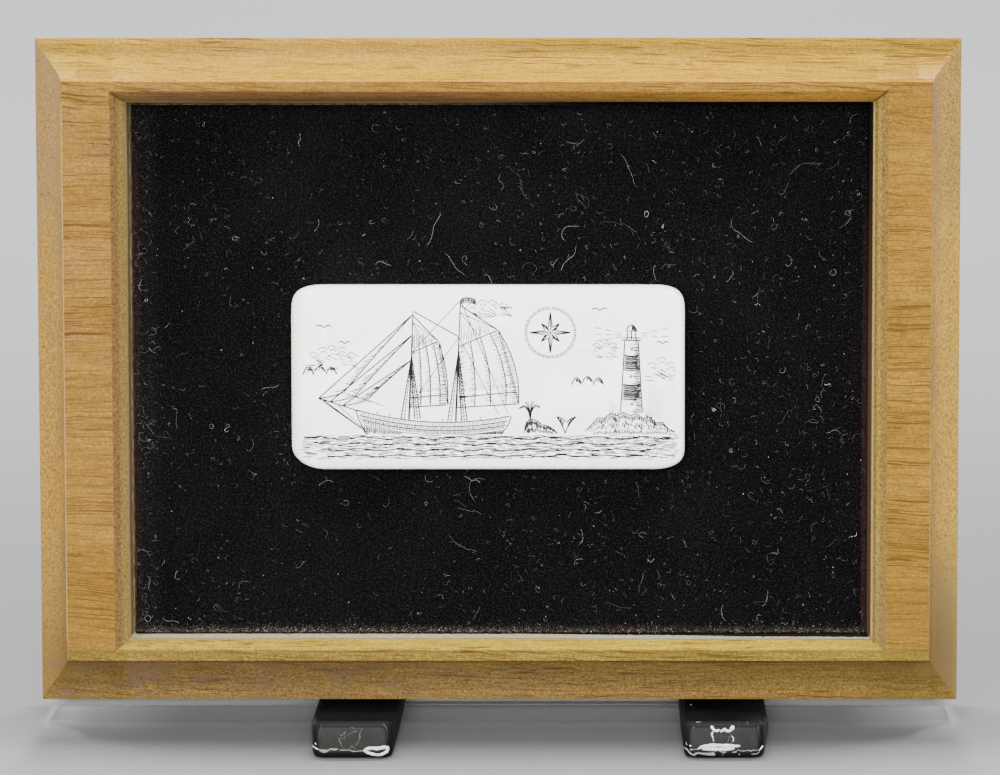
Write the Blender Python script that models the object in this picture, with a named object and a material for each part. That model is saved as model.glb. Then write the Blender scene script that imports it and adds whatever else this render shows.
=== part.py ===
# A framed scrimshaw panel leaning on its small black display stand.
# Metres, +Z up. X runs to the right, Y to the back, and the picture faces -Y.
# The origin is under the middle of the whole work, on the table.

import math

import bmesh
import bpy
from mathutils import Matrix, Vector

MM = 0.001

# Wooden board
BOARD_WIDTH = 177.8 * MM
BOARD_HEIGHT = 128.0 * MM
BOARD_THICKNESS = 19.0 * MM
COVE_DEPTH = 6.8 * MM
COVE_WIDTH_RAIL = 8.6 * MM
COVE_WIDTH_STILE = 6.1 * MM
COVE_QUIRK = 0.35 * MM
COVE_BULGE = 0.13
COVE_STEPS = 8
BACK_CHAMFER = 0.8 * MM

# Pocket in the board
RAIL_WIDTH = 12.45 * MM
LEFT_STILE_WIDTH = 17.8 * MM
RIGHT_STILE_WIDTH = 17.35 * MM
BEVEL_RAIL = 1.9 * MM
BEVEL_LEFT = 2.35 * MM
BEVEL_RIGHT = 2.75 * MM
BEVEL_DEPTH = 2.1 * MM
VELVET_DEPTH = 9.0 * MM

# Velvet lining and plaque
GAP = 0.3 * MM
VELVET_THICKNESS = 1.2 * MM
PLAQUE_WIDTH = 75.7 * MM
PLAQUE_HEIGHT = 35.6 * MM
PLAQUE_THICKNESS = 4.5 * MM
PLAQUE_SHIFT_X = -2.0 * MM
PLAQUE_SHIFT_Z = -1.1 * MM
PLAQUE_EDGE_ROUND = 0.8 * MM
PLAQUE_BACK_ROUND = 0.4 * MM
CORNER_STEPS = 7

# Engraved lines
LINE_WIDTH = 0.24 * MM
LINE_DEPTH = 0.14 * MM
LINE_OVERLAP = 0.06 * MM

# Display stand
LEAN = math.radians(7.0)
RUNNER_THICKNESS = 2.8 * MM
RUNNER_WIDTH = 16.8 * MM
TIP_WIDTH = 14.8 * MM
FRONT_REACH = 16.5 * MM
REAR_REACH = 34.0 * MM
LIP_HEIGHT = 6.6 * MM
LIP_THICKNESS = 3.4 * MM
LIP_SLOPE = 1.6 * MM
POST_HEIGHT = 78.0 * MM
POST_THICKNESS = 3.4 * MM
POST_TOP_WIDTH = 12.0 * MM
GUSSET_HEIGHT = 15.0 * MM
GUSSET_LENGTH = 17.0 * MM
FOOT_SPACING = 69.4 * MM
FOOT_SPREAD = 0.8 * MM
STAND_SHIFT_X = 8.0 * MM
BAR_THICKNESS = 2.2 * MM
BAR_EDGE_ROUND = 0.6 * MM
LOW_BAR_START = 1.2 * MM
LOW_BAR_HEIGHT = 11.0 * MM
HIGH_BAR_HEIGHT = 8.0 * MM
HIGH_BAR_DROP = 9.0 * MM
STAND_EDGE_ROUND = 0.9 * MM
TIP_CORNER_ROUND = 2.0 * MM

# Cutters reach this far past what they cut
OVER = 2.0 * MM

FRONT = -BOARD_THICKNESS
SEAT_Z = RUNNER_THICKNESS + GAP
BOARD_FOOT = BOARD_THICKNESS * math.cos(LEAN)
SEAT_Y = (FRONT_REACH + BOARD_FOOT - REAR_REACH) / 2


def clear_scene():
    for item in list(bpy.data.objects):
        bpy.data.objects.remove(item, do_unlink=True)


def make_collection(name):
    collection = bpy.data.collections.new(name)
    bpy.context.scene.collection.children.link(collection)
    return collection


def make_material(name, colour, roughness, metallic=0.0):
    material = bpy.data.materials.new(name)
    material.use_nodes = True
    shader = material.node_tree.nodes["Principled BSDF"]
    shader.inputs["Base Color"].default_value = (*colour, 1.0)
    shader.inputs["Roughness"].default_value = roughness
    shader.inputs["Metallic"].default_value = metallic
    material.diffuse_color = (*colour, 1.0)
    return material


def object_from(bm, name, collection, material=None):
    bmesh.ops.recalc_face_normals(bm, faces=bm.faces)
    mesh = bpy.data.meshes.new(name)
    bm.to_mesh(mesh)
    bm.free()
    if material is not None:
        mesh.materials.append(material)
    item = bpy.data.objects.new(name, mesh)
    collection.objects.link(item)
    return item


def add_block(bm, low, high):
    """Adds a box between two corners and gives its vertices."""
    size = Vector(high) - Vector(low)
    middle = (Vector(high) + Vector(low)) / 2
    matrix = Matrix.Translation(middle) @ Matrix.Diagonal((*size, 1.0))
    return bmesh.ops.create_cube(bm, size=1.0, matrix=matrix)["verts"]


def add_prism(bm, outline, along):
    """Extrudes a flat outline along a vector and gives the new solid's vertices."""
    start = [bm.verts.new(point) for point in outline]
    face = bm.faces.new(start)
    made = bmesh.ops.extrude_face_region(bm, geom=[face])["geom"]
    end = [part for part in made if isinstance(part, bmesh.types.BMVert)]
    bmesh.ops.translate(bm, verts=end, vec=along)
    return start + end


def bridge(bm, first, second):
    """Joins two closed loops of vertices with a band of faces."""
    edges = []
    for ring in (first, second):
        for a, b in zip(ring, ring[1:] + ring[:1]):
            edges.append(bm.edges.get((a, b)) or bm.edges.new((a, b)))
    bmesh.ops.bridge_loops(bm, edges=edges)


def hide_cutter(item):
    item.hide_render = True
    item.display_type = "WIRE"


def subtract(item, cutter):
    modifier = item.modifiers.new("cut " + cutter.name, "BOOLEAN")
    modifier.operation = "DIFFERENCE"
    modifier.solver = "EXACT"
    modifier.object = cutter


def unite(item, other):
    modifier = item.modifiers.new("join " + other.name, "BOOLEAN")
    modifier.operation = "UNION"
    modifier.solver = "EXACT"
    modifier.object = other


# Wooden board

def cove_profile(width):
    """Gives (inward, depth) points from the board's edge up to its flat face."""
    run = Vector((width, -(COVE_DEPTH - COVE_QUIRK)))
    hollow = Vector((run.y, -run.x)).normalized() * run.length * COVE_BULGE
    points = []
    for step in range(COVE_STEPS + 1):
        t = step / COVE_STEPS
        sag = 4 * t * (1 - t)
        place = Vector((0.0, COVE_DEPTH)) + run * t - hollow * sag
        points.append((place.x, place.y))
    return points


def cove_cutter(name, width, span, collection):
    """Makes the waste outside one cove, along X, with the board's edge at z = 0."""
    outline = [(-OVER, COVE_DEPTH)]
    outline += cove_profile(width)
    outline += [(width, -OVER), (-OVER, -OVER)]
    bm = bmesh.new()
    ring = [(-span / 2 - OVER, FRONT + depth, inward) for inward, depth in outline]
    add_prism(bm, ring, (span + 2 * OVER, 0.0, 0.0))
    cutter = object_from(bm, name, collection)
    hide_cutter(cutter)
    return cutter


def make_board(solids, cutters, lean, material):
    bm = bmesh.new()
    add_block(
        bm,
        (-BOARD_WIDTH / 2, FRONT, 0.0),
        (BOARD_WIDTH / 2, 0.0, BOARD_HEIGHT),
    )
    back_edges = [e for e in bm.edges if all(abs(v.co.y) < 1e-6 for v in e.verts)]
    bmesh.ops.bevel(
        bm, geom=back_edges, offset=BACK_CHAMFER, segments=1, affect="EDGES"
    )
    board = object_from(bm, "wood_frame", solids, material)
    board.parent = lean

    middle = Vector((0.0, 0.0, BOARD_HEIGHT / 2))
    sides = (
        ("cove_bottom", COVE_WIDTH_RAIL, BOARD_WIDTH, BOARD_HEIGHT, 0),
        ("cove_right", COVE_WIDTH_STILE, BOARD_HEIGHT, BOARD_WIDTH, 1),
        ("cove_top", COVE_WIDTH_RAIL, BOARD_WIDTH, BOARD_HEIGHT, 2),
        ("cove_left", COVE_WIDTH_STILE, BOARD_HEIGHT, BOARD_WIDTH, 3),
    )
    for name, width, span, across, quarter in sides:
        cutter = cove_cutter(name, width, span, cutters)
        turn = Matrix.Rotation(-quarter * math.pi / 2, 4, "Y")
        cutter.data.transform(Matrix.Translation((0.0, 0.0, -across / 2)))
        cutter.matrix_local = Matrix.Translation(middle) @ turn
        cutter.parent = lean
        subtract(board, cutter)

    pocket = pocket_cutter(cutters)
    pocket.parent = lean
    subtract(board, pocket)
    return board


def pocket_cutter(collection):
    """Makes the waste of the pocket: a straight-sided well under a flared mouth."""
    left = LEFT_STILE_WIDTH - BOARD_WIDTH / 2
    right = BOARD_WIDTH / 2 - RIGHT_STILE_WIDTH
    half_z = BOARD_HEIGHT / 2 - RAIL_WIDTH
    floor = FRONT + VELVET_DEPTH + VELVET_THICKNESS + GAP
    flare = (BEVEL_DEPTH + OVER) / BEVEL_DEPTH
    mouth_left = left - BEVEL_LEFT * flare
    mouth_right = right + BEVEL_RIGHT * flare
    levels = (
        (floor, left, right, half_z),
        (FRONT + BEVEL_DEPTH, left, right, half_z),
        (FRONT - OVER, mouth_left, mouth_right, half_z + BEVEL_RAIL * flare),
    )
    bm = bmesh.new()
    depth, low_x, high_x, high = levels[0]
    middle_z = BOARD_HEIGHT / 2
    corners = ((low_x, -1), (high_x, -1), (high_x, 1), (low_x, 1))
    ring = [bm.verts.new((x, depth, middle_z + high * b)) for x, b in corners]
    face = bm.faces.new(ring)
    inner = []
    for depth, low_x, high_x, high in levels[1:]:
        made = bmesh.ops.extrude_face_region(bm, geom=[face])["geom"]
        inner.append(face)
        face = next(part for part in made if isinstance(part, bmesh.types.BMFace))
        for vert in face.verts:
            vert.co.x = low_x if vert.co.x < 0 else high_x
            vert.co.y = depth
            vert.co.z = middle_z + math.copysign(high, vert.co.z - middle_z)
    bmesh.ops.delete(bm, geom=inner[1:], context="FACES")
    cutter = object_from(bm, "pocket_well", collection)
    hide_cutter(cutter)
    return cutter


# Velvet lining

def make_velvet(solids, lean, material):
    left = LEFT_STILE_WIDTH - BOARD_WIDTH / 2 + GAP
    right = BOARD_WIDTH / 2 - RIGHT_STILE_WIDTH - GAP
    half_z = BOARD_HEIGHT / 2 - RAIL_WIDTH - GAP
    top = FRONT + VELVET_DEPTH
    bm = bmesh.new()
    add_block(
        bm,
        (left, top, BOARD_HEIGHT / 2 - half_z),
        (right, top + VELVET_THICKNESS, BOARD_HEIGHT / 2 + half_z),
    )
    velvet = object_from(bm, "velvet_lining", solids, material)
    velvet.parent = lean
    return velvet


# Plaque

def plaque_outline(inset):
    """Gives the plaque's rounded outline, as (u, v) points, moved inwards by inset.
    Each corner is (sign u, sign v, reach u, reach v, fullness)."""
    corners = (
        (1, 1, 7.6 * MM, 5.8 * MM, 3.5),
        (-1, 1, 7.2 * MM, 5.8 * MM, 3.2),
        (-1, -1, 6.5 * MM, 4.6 * MM, 2.0),
        (1, -1, 6.8 * MM, 4.2 * MM, 2.6),
    )
    points = []
    for sign_u, sign_v, reach_u, reach_v, fullness in corners:
        centre_u = sign_u * (PLAQUE_WIDTH / 2 - reach_u)
        centre_v = sign_v * (PLAQUE_HEIGHT / 2 - reach_v)
        arc = []
        for step in range(CORNER_STEPS + 1):
            angle = math.pi / 2 * step / CORNER_STEPS
            u = (reach_u - inset) * math.cos(angle) ** (2 / fullness)
            v = (reach_v - inset) * math.sin(angle) ** (2 / fullness)
            arc.append((centre_u + sign_u * u, centre_v + sign_v * v))
        if sign_u * sign_v < 0:
            arc.reverse()
        points += arc
    return points


def make_plaque(solids, cutters, lean, material):
    layers = []
    for step in range(4):
        angle = math.pi / 2 * step / 3
        sink = PLAQUE_EDGE_ROUND * (1 - math.cos(angle))
        layers.append((sink, PLAQUE_EDGE_ROUND * (1 - math.sin(angle))))
    layers.append((PLAQUE_THICKNESS - PLAQUE_BACK_ROUND, 0.0))
    layers.append((PLAQUE_THICKNESS, PLAQUE_BACK_ROUND))

    bm = bmesh.new()
    rings = []
    for depth, inset in layers:
        ring = [bm.verts.new((u, depth, v)) for u, v in plaque_outline(inset)]
        rings.append(ring)
    for upper, lower in zip(rings, rings[1:]):
        bridge(bm, upper, lower)
    bm.faces.new(rings[0])
    bm.faces.new(rings[-1])
    plaque = object_from(bm, "scrimshaw_plaque", solids, material)
    plaque.parent = lean
    plaque.location = (
        PLAQUE_SHIFT_X,
        FRONT + VELVET_DEPTH - GAP - PLAQUE_THICKNESS,
        BOARD_HEIGHT / 2 + PLAQUE_SHIFT_Z,
    )
    engrave(plaque, picture_lines(), cutters)
    return plaque


def groove_cutter(name, line, depth, collection, plaque):
    """Makes a thin wedge along one drawn line, narrow at its ends, which run on a little."""
    points = [Vector(point) for point in line]
    run_on = LINE_WIDTH * depth / LINE_DEPTH / 2
    points[0] += (points[0] - points[1]).normalized() * run_on
    points[-1] += (points[-1] - points[-2]).normalized() * run_on
    last = len(points) - 1
    grow = (depth + LINE_OVERLAP) / depth
    bm = bmesh.new()
    rings = []
    for index, point in enumerate(points):
        before = points[max(index - 1, 0)]
        after = points[min(index + 1, last)]
        way = (after - before).normalized()
        share = 0.4 if index in (0, last) else 1.0
        half = Vector((-way.y, way.x)) * LINE_WIDTH / 2 * grow * share
        left = point + half
        right = point - half
        rings.append(
            [
                bm.verts.new((left.x, -LINE_OVERLAP, left.y)),
                bm.verts.new((right.x, -LINE_OVERLAP, right.y)),
                bm.verts.new((point.x, depth * share, point.y)),
            ]
        )
    for first, second in zip(rings, rings[1:]):
        bridge(bm, first, second)
    bm.faces.new(rings[0])
    bm.faces.new(rings[-1])
    cutter = object_from(bm, name, collection)
    hide_cutter(cutter)
    cutter.parent = plaque
    return cutter


def engrave(plaque, lines, cutters):
    grooves = bpy.data.collections.new("engraved lines")
    cutters.children.link(grooves)
    for index, line in enumerate(lines):
        depth = LINE_DEPTH * (1 + 0.04 * (index % 7))
        groove_cutter(f"line_{index:03d}", line, depth, grooves, plaque)
    modifier = plaque.modifiers.new("engraving", "BOOLEAN")
    modifier.operation = "DIFFERENCE"
    modifier.solver = "EXACT"
    modifier.operand_type = "COLLECTION"
    modifier.collection = grooves


# Engraved picture: a schooner under sail, a spouting whale and a lighthouse

SEA_LEVEL = -11.2 * MM
SHIP_LENGTH = 30.0 * MM
SHIP_MIDDLE = -10.5 * MM
SHIP_FREEBOARD = 2.5 * MM
FORE_MAST = 21.0 * MM
MAIN_MAST = 23.5 * MM
ROCKS_START = 18.6 * MM
ROCKS_END = 36.0 * MM
ROCKS_HEIGHT = 3.8 * MM
TOWER_U = 27.6 * MM
TOWER_HEIGHT = 14.0 * MM
TOWER_FOOT = 2.1 * MM
TOWER_TOP = 1.3 * MM
WHALE_U = 10.2 * MM
WHALE_LENGTH = 6.4 * MM
STAR_U = 12.0 * MM
STAR_V = 8.6 * MM


def between(start, end, share):
    return (
        start[0] + (end[0] - start[0]) * share,
        start[1] + (end[1] - start[1]) * share,
    )


def curve(start, bend, end, steps):
    """Gives points on a quadratic curve that heads for its bend point."""
    points = []
    for step in range(steps + 1):
        t = step / steps
        points.append(between(between(start, bend, t), between(bend, end, t), t))
    return points


def moved(point, right=0.0, up=0.0):
    return (point[0] + right * MM, point[1] + up * MM)


def deck_point(share, lift=0.0):
    """Gives a place on the deck line: share is 0 at the stern and 1 at the bow."""
    u = SHIP_MIDDLE + SHIP_LENGTH * (0.5 - share)
    rise = SHIP_LENGTH * 0.24 * (share - 0.42) ** 2
    return (u, SEA_LEVEL + SHIP_FREEBOARD + rise + lift * MM)


def mast(share, height):
    foot = deck_point(share)
    return foot, (foot[0] + height * 0.045, foot[1] + height)


def gaff_sail(foot, top, boom, gaff):
    """Gives the lines of one gaff sail and of the topsail over it."""
    tack = between(foot, top, 0.12)
    throat = between(foot, top, 0.62)
    clew = (tack[0] + boom, tack[1] + boom * 0.06)
    peak = (throat[0] + gaff, throat[1] + gaff * 0.42)
    belly = (max(clew[0], peak[0]) + boom * 0.06, (clew[1] + peak[1]) / 2)
    leech = curve(clew, belly, peak, 6)
    luff = curve(tack, between(tack, throat, 0.5), throat, 6)
    head = between(foot, top, 0.96)
    lines = [[tack, clew], [throat, peak], leech]
    lines.append(curve(peak, moved(between(peak, head, 0.5), 0.2, -0.3), head, 3))
    for share in (0.3, 0.55, 0.8):
        lines.append([between(a, b, share) for a, b in zip(luff, leech)])
    reef = between(luff[1], leech[1], 0.04)
    lines.append([reef, between(luff[1], leech[1], 0.96)])
    return lines


def jib(tack, head):
    clew = moved(tack, 4.8, 1.1)
    return [
        [tack, head],
        curve(head, moved(between(head, clew, 0.5), -0.5), clew, 3),
        curve(clew, moved(between(clew, tack, 0.5), 0.0, -0.4), tack, 3),
    ]


def shrouds(foot, top):
    """Gives three ropes that stand from the deck up to the mast's hounds."""
    lines = []
    for reach, share in ((-1.5, 0.56), (1.2, 0.52), (2.3, 0.6)):
        lines.append([moved(foot, reach, 0.1), between(foot, top, share)])
    return lines


def ship_lines():
    stern = deck_point(0)
    bow = deck_point(1)
    stern_foot = (stern[0] - 2.0 * MM, SEA_LEVEL + 0.1 * MM)
    bow_foot = (bow[0] + 2.4 * MM, SEA_LEVEL + 0.1 * MM)
    sprit = moved(bow, -7.2, 2.3)
    lines = [
        [deck_point(step / 10) for step in range(11)],
        [stern, moved(stern, -0.4, -1.4), stern_foot],
        curve(bow, moved(bow_foot, -1.3, 1.2), bow_foot, 5),
        [deck_point(0.97, -0.1), sprit],
        [moved(bow_foot, -1.2, 1.2), moved(sprit, 0.6, -0.1)],
    ]
    for drop, inset in ((0.85, 0.02), (1.6, 0.03)):
        span = 1 - 2 * inset
        lines.append([deck_point(inset + span * step / 10, -drop) for step in range(11)])

    fore_foot, fore_top = mast(0.66, FORE_MAST)
    main_foot, main_top = mast(0.36, MAIN_MAST)
    for foot, top in ((fore_foot, fore_top), (main_foot, main_top)):
        lines.append([foot, top])
        lines += shrouds(foot, top)
    lines += gaff_sail(fore_foot, fore_top, 7.4 * MM, 5.2 * MM)
    lines += gaff_sail(main_foot, main_top, 12.0 * MM, 7.6 * MM)
    lines.append([fore_top, between(main_foot, main_top, 0.7)])
    for tack_share, head_share in ((0.35, 0.55), (0.68, 0.78), (0.98, 0.97)):
        tack = between(bow, sprit, tack_share)
        lines += jib(tack, between(fore_foot, fore_top, head_share))
    return lines


def tower_lines():
    foot_v = SEA_LEVEL + ROCKS_HEIGHT + 0.5 * MM
    top_v = foot_v + TOWER_HEIGHT
    lines = []
    for side in (-1, 1):
        foot = (TOWER_U + side * TOWER_FOOT, foot_v)
        lines.append([foot, (TOWER_U + side * TOWER_TOP, top_v)])
    for band in range(1, 5):
        share = band / 5
        half = TOWER_FOOT + (TOWER_TOP - TOWER_FOOT) * share
        v = foot_v + TOWER_HEIGHT * share
        sag = (TOWER_U, v - 0.5 * MM)
        lines.append(curve((TOWER_U - half, v), sag, (TOWER_U + half, v), 3))
    gallery = TOWER_TOP + 0.6 * MM
    lines.append([(TOWER_U - gallery, top_v), (TOWER_U + gallery, top_v)])
    eave_v = top_v + 1.8 * MM
    for side in (-1, 0, 1):
        u = TOWER_U + side * 0.8 * MM
        lines.append([(u, top_v), (u, eave_v)])
    eave = 1.1 * MM
    lines.append([(TOWER_U - eave, eave_v), (TOWER_U + eave, eave_v)])
    crown = (TOWER_U, eave_v + 2.4 * MM)
    lines.append(curve((TOWER_U - eave, eave_v), crown, (TOWER_U + eave, eave_v), 6))
    return lines


def rock_lines():
    """A low headland with a broken skyline and a few cracks."""
    steps = 14
    skyline = []
    for step in range(steps + 1):
        share = step / steps
        swell = ROCKS_HEIGHT * math.sin(math.pi * share ** 0.8) ** 0.7
        jag = 0.32 * MM * (-1) ** step
        u = ROCKS_START + (ROCKS_END - ROCKS_START) * share
        skyline.append((u, SEA_LEVEL + 0.35 * MM + swell + jag))
    lines = [skyline]
    for step in range(6):
        u = ROCKS_START + (2.6 + 2.5 * step) * MM
        v = SEA_LEVEL + (2.7 - 0.7 * (step % 2)) * MM
        lines.append([(u, v), (u + 0.9 * MM, v - 0.7 * MM), (u + 0.6 * MM, v - 1.6 * MM)])
    return lines


def whale_lines():
    snout = (WHALE_U - WHALE_LENGTH / 2, SEA_LEVEL + 0.3 * MM)
    tail = (WHALE_U + WHALE_LENGTH / 2, SEA_LEVEL + 0.3 * MM)
    saddle = (WHALE_U + 0.3 * MM, SEA_LEVEL + 2.0 * MM)
    lines = [
        curve(snout, moved(snout, 0.1, 4.6), saddle, 6),
        curve(saddle, moved(tail, -1.2, 1.6), tail, 4),
    ]
    blowhole = moved(snout, 1.1, 2.6)
    for side, reach in ((-1, 2.3), (-1, 1.1), (1, 0.9), (1, 2.0)):
        bend = moved(blowhole, side * 0.3, 4.0)
        end = moved(blowhole, side * reach, 4.5 - reach)
        lines.append(curve(blowhole, bend, end, 4))
    stock = moved(tail, 1.4, 0.0)
    notch = moved(stock, 0.3, 2.2)
    for side in (-1, 1):
        tip = moved(notch, side * 1.9, 1.1)
        lines.append(curve(stock, moved(stock, side * 0.5, 1.9), tip, 4))
        lines.append(curve(tip, moved(notch, side * 0.8, 0.9), notch, 3))
    return lines


def star_lines():
    """A compass star: eight points, four of them long."""
    tips = []
    for step in range(16):
        angle = math.pi * step / 8
        reach = 1.05 if step % 2 else (4.0 if step % 4 == 0 else 2.5)
        tips.append(moved((STAR_U, STAR_V), reach * math.sin(angle), reach * math.cos(angle)))
    return [[start, end] for start, end in zip(tips, tips[1:] + tips[:1])]


def cloud_lines():
    """Two banks of cloud, each a row of puffs over a flat foot."""
    lines = []
    for left, foot, puffs, size in ((-35.6, 0.4, 3, 2.2), (16.0, -1.6, 3, 2.1)):
        for puff in range(puffs):
            start = (left * MM + puff * size * MM, foot * MM + 0.5 * (puff % 2) * MM)
            end = moved(start, size, 0.0)
            bend = moved(start, size / 2, size * (1.5 - 0.3 * (puff % 2)))
            lines.append(curve(start, bend, end, 5))
    return lines


def sea_lines():
    lines = []
    for row in range(4):
        v = SEA_LEVEL - (0.5 + 1.15 * row) * MM
        reach = (35.0 - 1.3 * row) * MM
        crest = (0.32 - 0.04 * row) * MM
        steps = 26
        line = []
        for step in range(steps + 1):
            u = -reach + 2 * reach * step / steps
            line.append((u, v + crest * math.sin(step * 1.9 + row * 1.1)))
        lines.append(line)
    return lines


def gull_lines():
    gulls = (
        (-31.5, 9.5, 1.5),
        (-27.5, 6.4, 1.1),
        (3.4, 13.0, 1.2),
        (21.5, 12.8, 1.5),
        (33.6, 6.4, 1.2),
    )
    lines = []
    for u, v, span in gulls:
        body = (u * MM, v * MM)
        for side in (-1, 1):
            bend = moved(body, side * span * 0.55, 0.9)
            lines.append(curve(body, bend, moved(body, side * span, 0.25), 3))
    return lines


def picture_lines():
    return (
        ship_lines()
        + tower_lines()
        + rock_lines()
        + whale_lines()
        + star_lines()
        + cloud_lines()
        + sea_lines()
        + gull_lines()
    )


# Display stand

def tip_share(y):
    """0 from the board's front backwards, 1 at the tip of the lip."""
    past = (SEAT_Y - BOARD_FOOT - y) / FRONT_REACH
    return min(max(past, 0.0), 1.0)


def half_width_at(y):
    """The foot narrows from the board's front to the tip of the lip."""
    return (RUNNER_WIDTH + (TIP_WIDTH - RUNNER_WIDTH) * tip_share(y)) / 2


def middle_at(y, side):
    """The feet spread apart a little from their tips to the board's front."""
    reach = FOOT_SPACING / 2 + FOOT_SPREAD * (1 - tip_share(y))
    return STAND_SHIFT_X + side * reach


def side_outline():
    """One side of the stand, seen from the side, as (y, z) points."""
    tip_y = SEAT_Y - BOARD_FOOT - FRONT_REACH
    rear_y = SEAT_Y + REAR_REACH
    up = Vector((math.sin(LEAN), math.cos(LEAN)))
    back = Vector((math.cos(LEAN), -math.sin(LEAN)))
    face_foot = Vector((SEAT_Y, SEAT_Z)) + back * GAP
    face_foot -= up * (face_foot.y - RUNNER_THICKNESS) / up.y
    face_top = face_foot + up * POST_HEIGHT
    rear_top = face_top + back * POST_THICKNESS
    rear_foot = face_foot + back * POST_THICKNESS
    gusset_top = rear_foot + up * GUSSET_HEIGHT
    gusset_end = (face_foot.x + GUSSET_LENGTH, RUNNER_THICKNESS)
    hollow = (rear_foot.x + 1.5 * MM, RUNNER_THICKNESS + 2.5 * MM)
    fillet = curve(tuple(gusset_top), hollow, gusset_end, 4)
    return [
        (tip_y, 0.0),
        (tip_y, LIP_HEIGHT),
        (tip_y + LIP_THICKNESS, LIP_HEIGHT),
        (tip_y + LIP_THICKNESS + LIP_SLOPE, RUNNER_THICKNESS),
        (SEAT_Y - BOARD_FOOT, RUNNER_THICKNESS),
        tuple(face_foot),
        tuple(face_top),
        tuple(rear_top),
        *fillet,
        (rear_y, RUNNER_THICKNESS),
        (rear_y, 0.0),
        (SEAT_Y - BOARD_FOOT, 0.0),
    ]


def add_side(bm, side):
    """Adds one side: foot, lip and post, with its edges rounded."""
    outline = [(0.0, y, z) for y, z in side_outline()]
    verts = add_prism(bm, outline, (1.0, 0.0, 0.0))
    top_z = max(vert.co.z for vert in verts)
    tip_y = min(vert.co.y for vert in verts)
    for vert in verts:
        half = half_width_at(vert.co.y)
        if vert.co.z > top_z - 2 * POST_THICKNESS:
            half = POST_TOP_WIDTH / 2
        offset = half if vert.co.x > 0.5 else -half
        vert.co.x = middle_at(vert.co.y, side) + offset
    bends = [
        vert
        for vert in verts
        if abs(vert.co.y - (SEAT_Y - BOARD_FOOT)) < 1e-6
    ]
    bmesh.ops.connect_verts(bm, verts=bends)
    edges = {edge for vert in verts for edge in vert.link_edges}
    tip_corners = [
        edge
        for edge in edges
        if all(vert.co.y < tip_y + 1e-6 for vert in edge.verts)
        and abs(edge.verts[0].co.x - edge.verts[1].co.x) < 1e-6
    ]
    bmesh.ops.bevel(
        bm, geom=tip_corners, offset=TIP_CORNER_ROUND, segments=3, affect="EDGES",
        profile=0.5,
    )


def make_stand(solids, cutters, material):
    bm = bmesh.new()
    for side in (-1, 1):
        add_side(bm, side)
    bmesh.ops.recalc_face_normals(bm, faces=bm.faces)
    sharp = [
        edge
        for edge in bm.edges
        if edge.is_convex and edge.calc_face_angle(0.0) > math.radians(50)
    ]
    bmesh.ops.bevel(
        bm, geom=sharp, offset=STAND_EDGE_ROUND, segments=2, affect="EDGES",
        profile=0.5, clamp_overlap=True,
    )
    stand = object_from(bm, "display_stand", solids, material)

    inset = (POST_THICKNESS - BAR_THICKNESS) / 2
    bars = (
        ("low_bar", LOW_BAR_START, LOW_BAR_HEIGHT),
        ("high_bar", POST_HEIGHT - HIGH_BAR_DROP - HIGH_BAR_HEIGHT, HIGH_BAR_HEIGHT),
    )
    for name, start, height in bars:
        bm = bmesh.new()
        reach = FOOT_SPACING / 2
        verts = add_block(
            bm,
            (-reach, GAP + inset, start),
            (reach, GAP + inset + BAR_THICKNESS, start + height),
        )
        edges = {edge for vert in verts for edge in vert.link_edges}
        long_edges = [
            edge
            for edge in edges
            if abs(edge.verts[0].co.x - edge.verts[1].co.x) > reach
        ]
        bmesh.ops.bevel(
            bm, geom=long_edges, offset=BAR_EDGE_ROUND, segments=2, affect="EDGES",
            profile=0.5,
        )
        bar = object_from(bm, name, cutters)
        bar.location = (STAND_SHIFT_X, SEAT_Y, SEAT_Z)
        bar.rotation_euler = (-LEAN, 0.0, 0.0)
        hide_cutter(bar)
        unite(stand, bar)
    return stand


def main():
    clear_scene()
    solids = make_collection("scrimshaw panel")
    cutters = make_collection("cutters")
    cutters.hide_render = True

    wood = make_material("oiled wood", (0.46, 0.265, 0.092), 0.5)
    velvet = make_material("black velvet", (0.006, 0.006, 0.006), 0.95)
    ivory = make_material("polished ivory", (0.83, 0.81, 0.75), 0.3)
    plastic = make_material("black plastic", (0.012, 0.012, 0.013), 0.28)

    lean = bpy.data.objects.new("panel_lean", None)
    solids.objects.link(lean)
    lean.location = (0.0, SEAT_Y, SEAT_Z)
    lean.rotation_euler = (-LEAN, 0.0, 0.0)

    make_board(solids, cutters, lean, wood)
    make_velvet(solids, lean, velvet)
    make_plaque(solids, cutters, lean, ivory)
    make_stand(solids, cutters, plastic)
    bpy.context.view_layer.update()


main()
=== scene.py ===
import math
import random
from itertools import product

import bmesh
import bpy
from mathutils import Euler, Matrix, Vector, noise
from mathutils.bvhtree import BVHTree
from mathutils.geometry import delaunay_2d_cdt


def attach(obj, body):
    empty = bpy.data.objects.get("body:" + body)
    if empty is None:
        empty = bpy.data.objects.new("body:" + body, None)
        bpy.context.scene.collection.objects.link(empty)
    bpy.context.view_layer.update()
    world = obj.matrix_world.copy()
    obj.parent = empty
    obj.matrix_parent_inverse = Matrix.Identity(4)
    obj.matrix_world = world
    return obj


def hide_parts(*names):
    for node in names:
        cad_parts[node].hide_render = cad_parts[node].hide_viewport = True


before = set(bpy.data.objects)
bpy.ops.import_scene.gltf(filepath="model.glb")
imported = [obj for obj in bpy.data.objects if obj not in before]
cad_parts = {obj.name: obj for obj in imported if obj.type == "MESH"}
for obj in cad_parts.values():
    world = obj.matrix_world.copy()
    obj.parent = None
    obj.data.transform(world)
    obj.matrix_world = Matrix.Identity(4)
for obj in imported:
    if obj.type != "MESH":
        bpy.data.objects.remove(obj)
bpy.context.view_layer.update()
mm = 0.001

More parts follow.
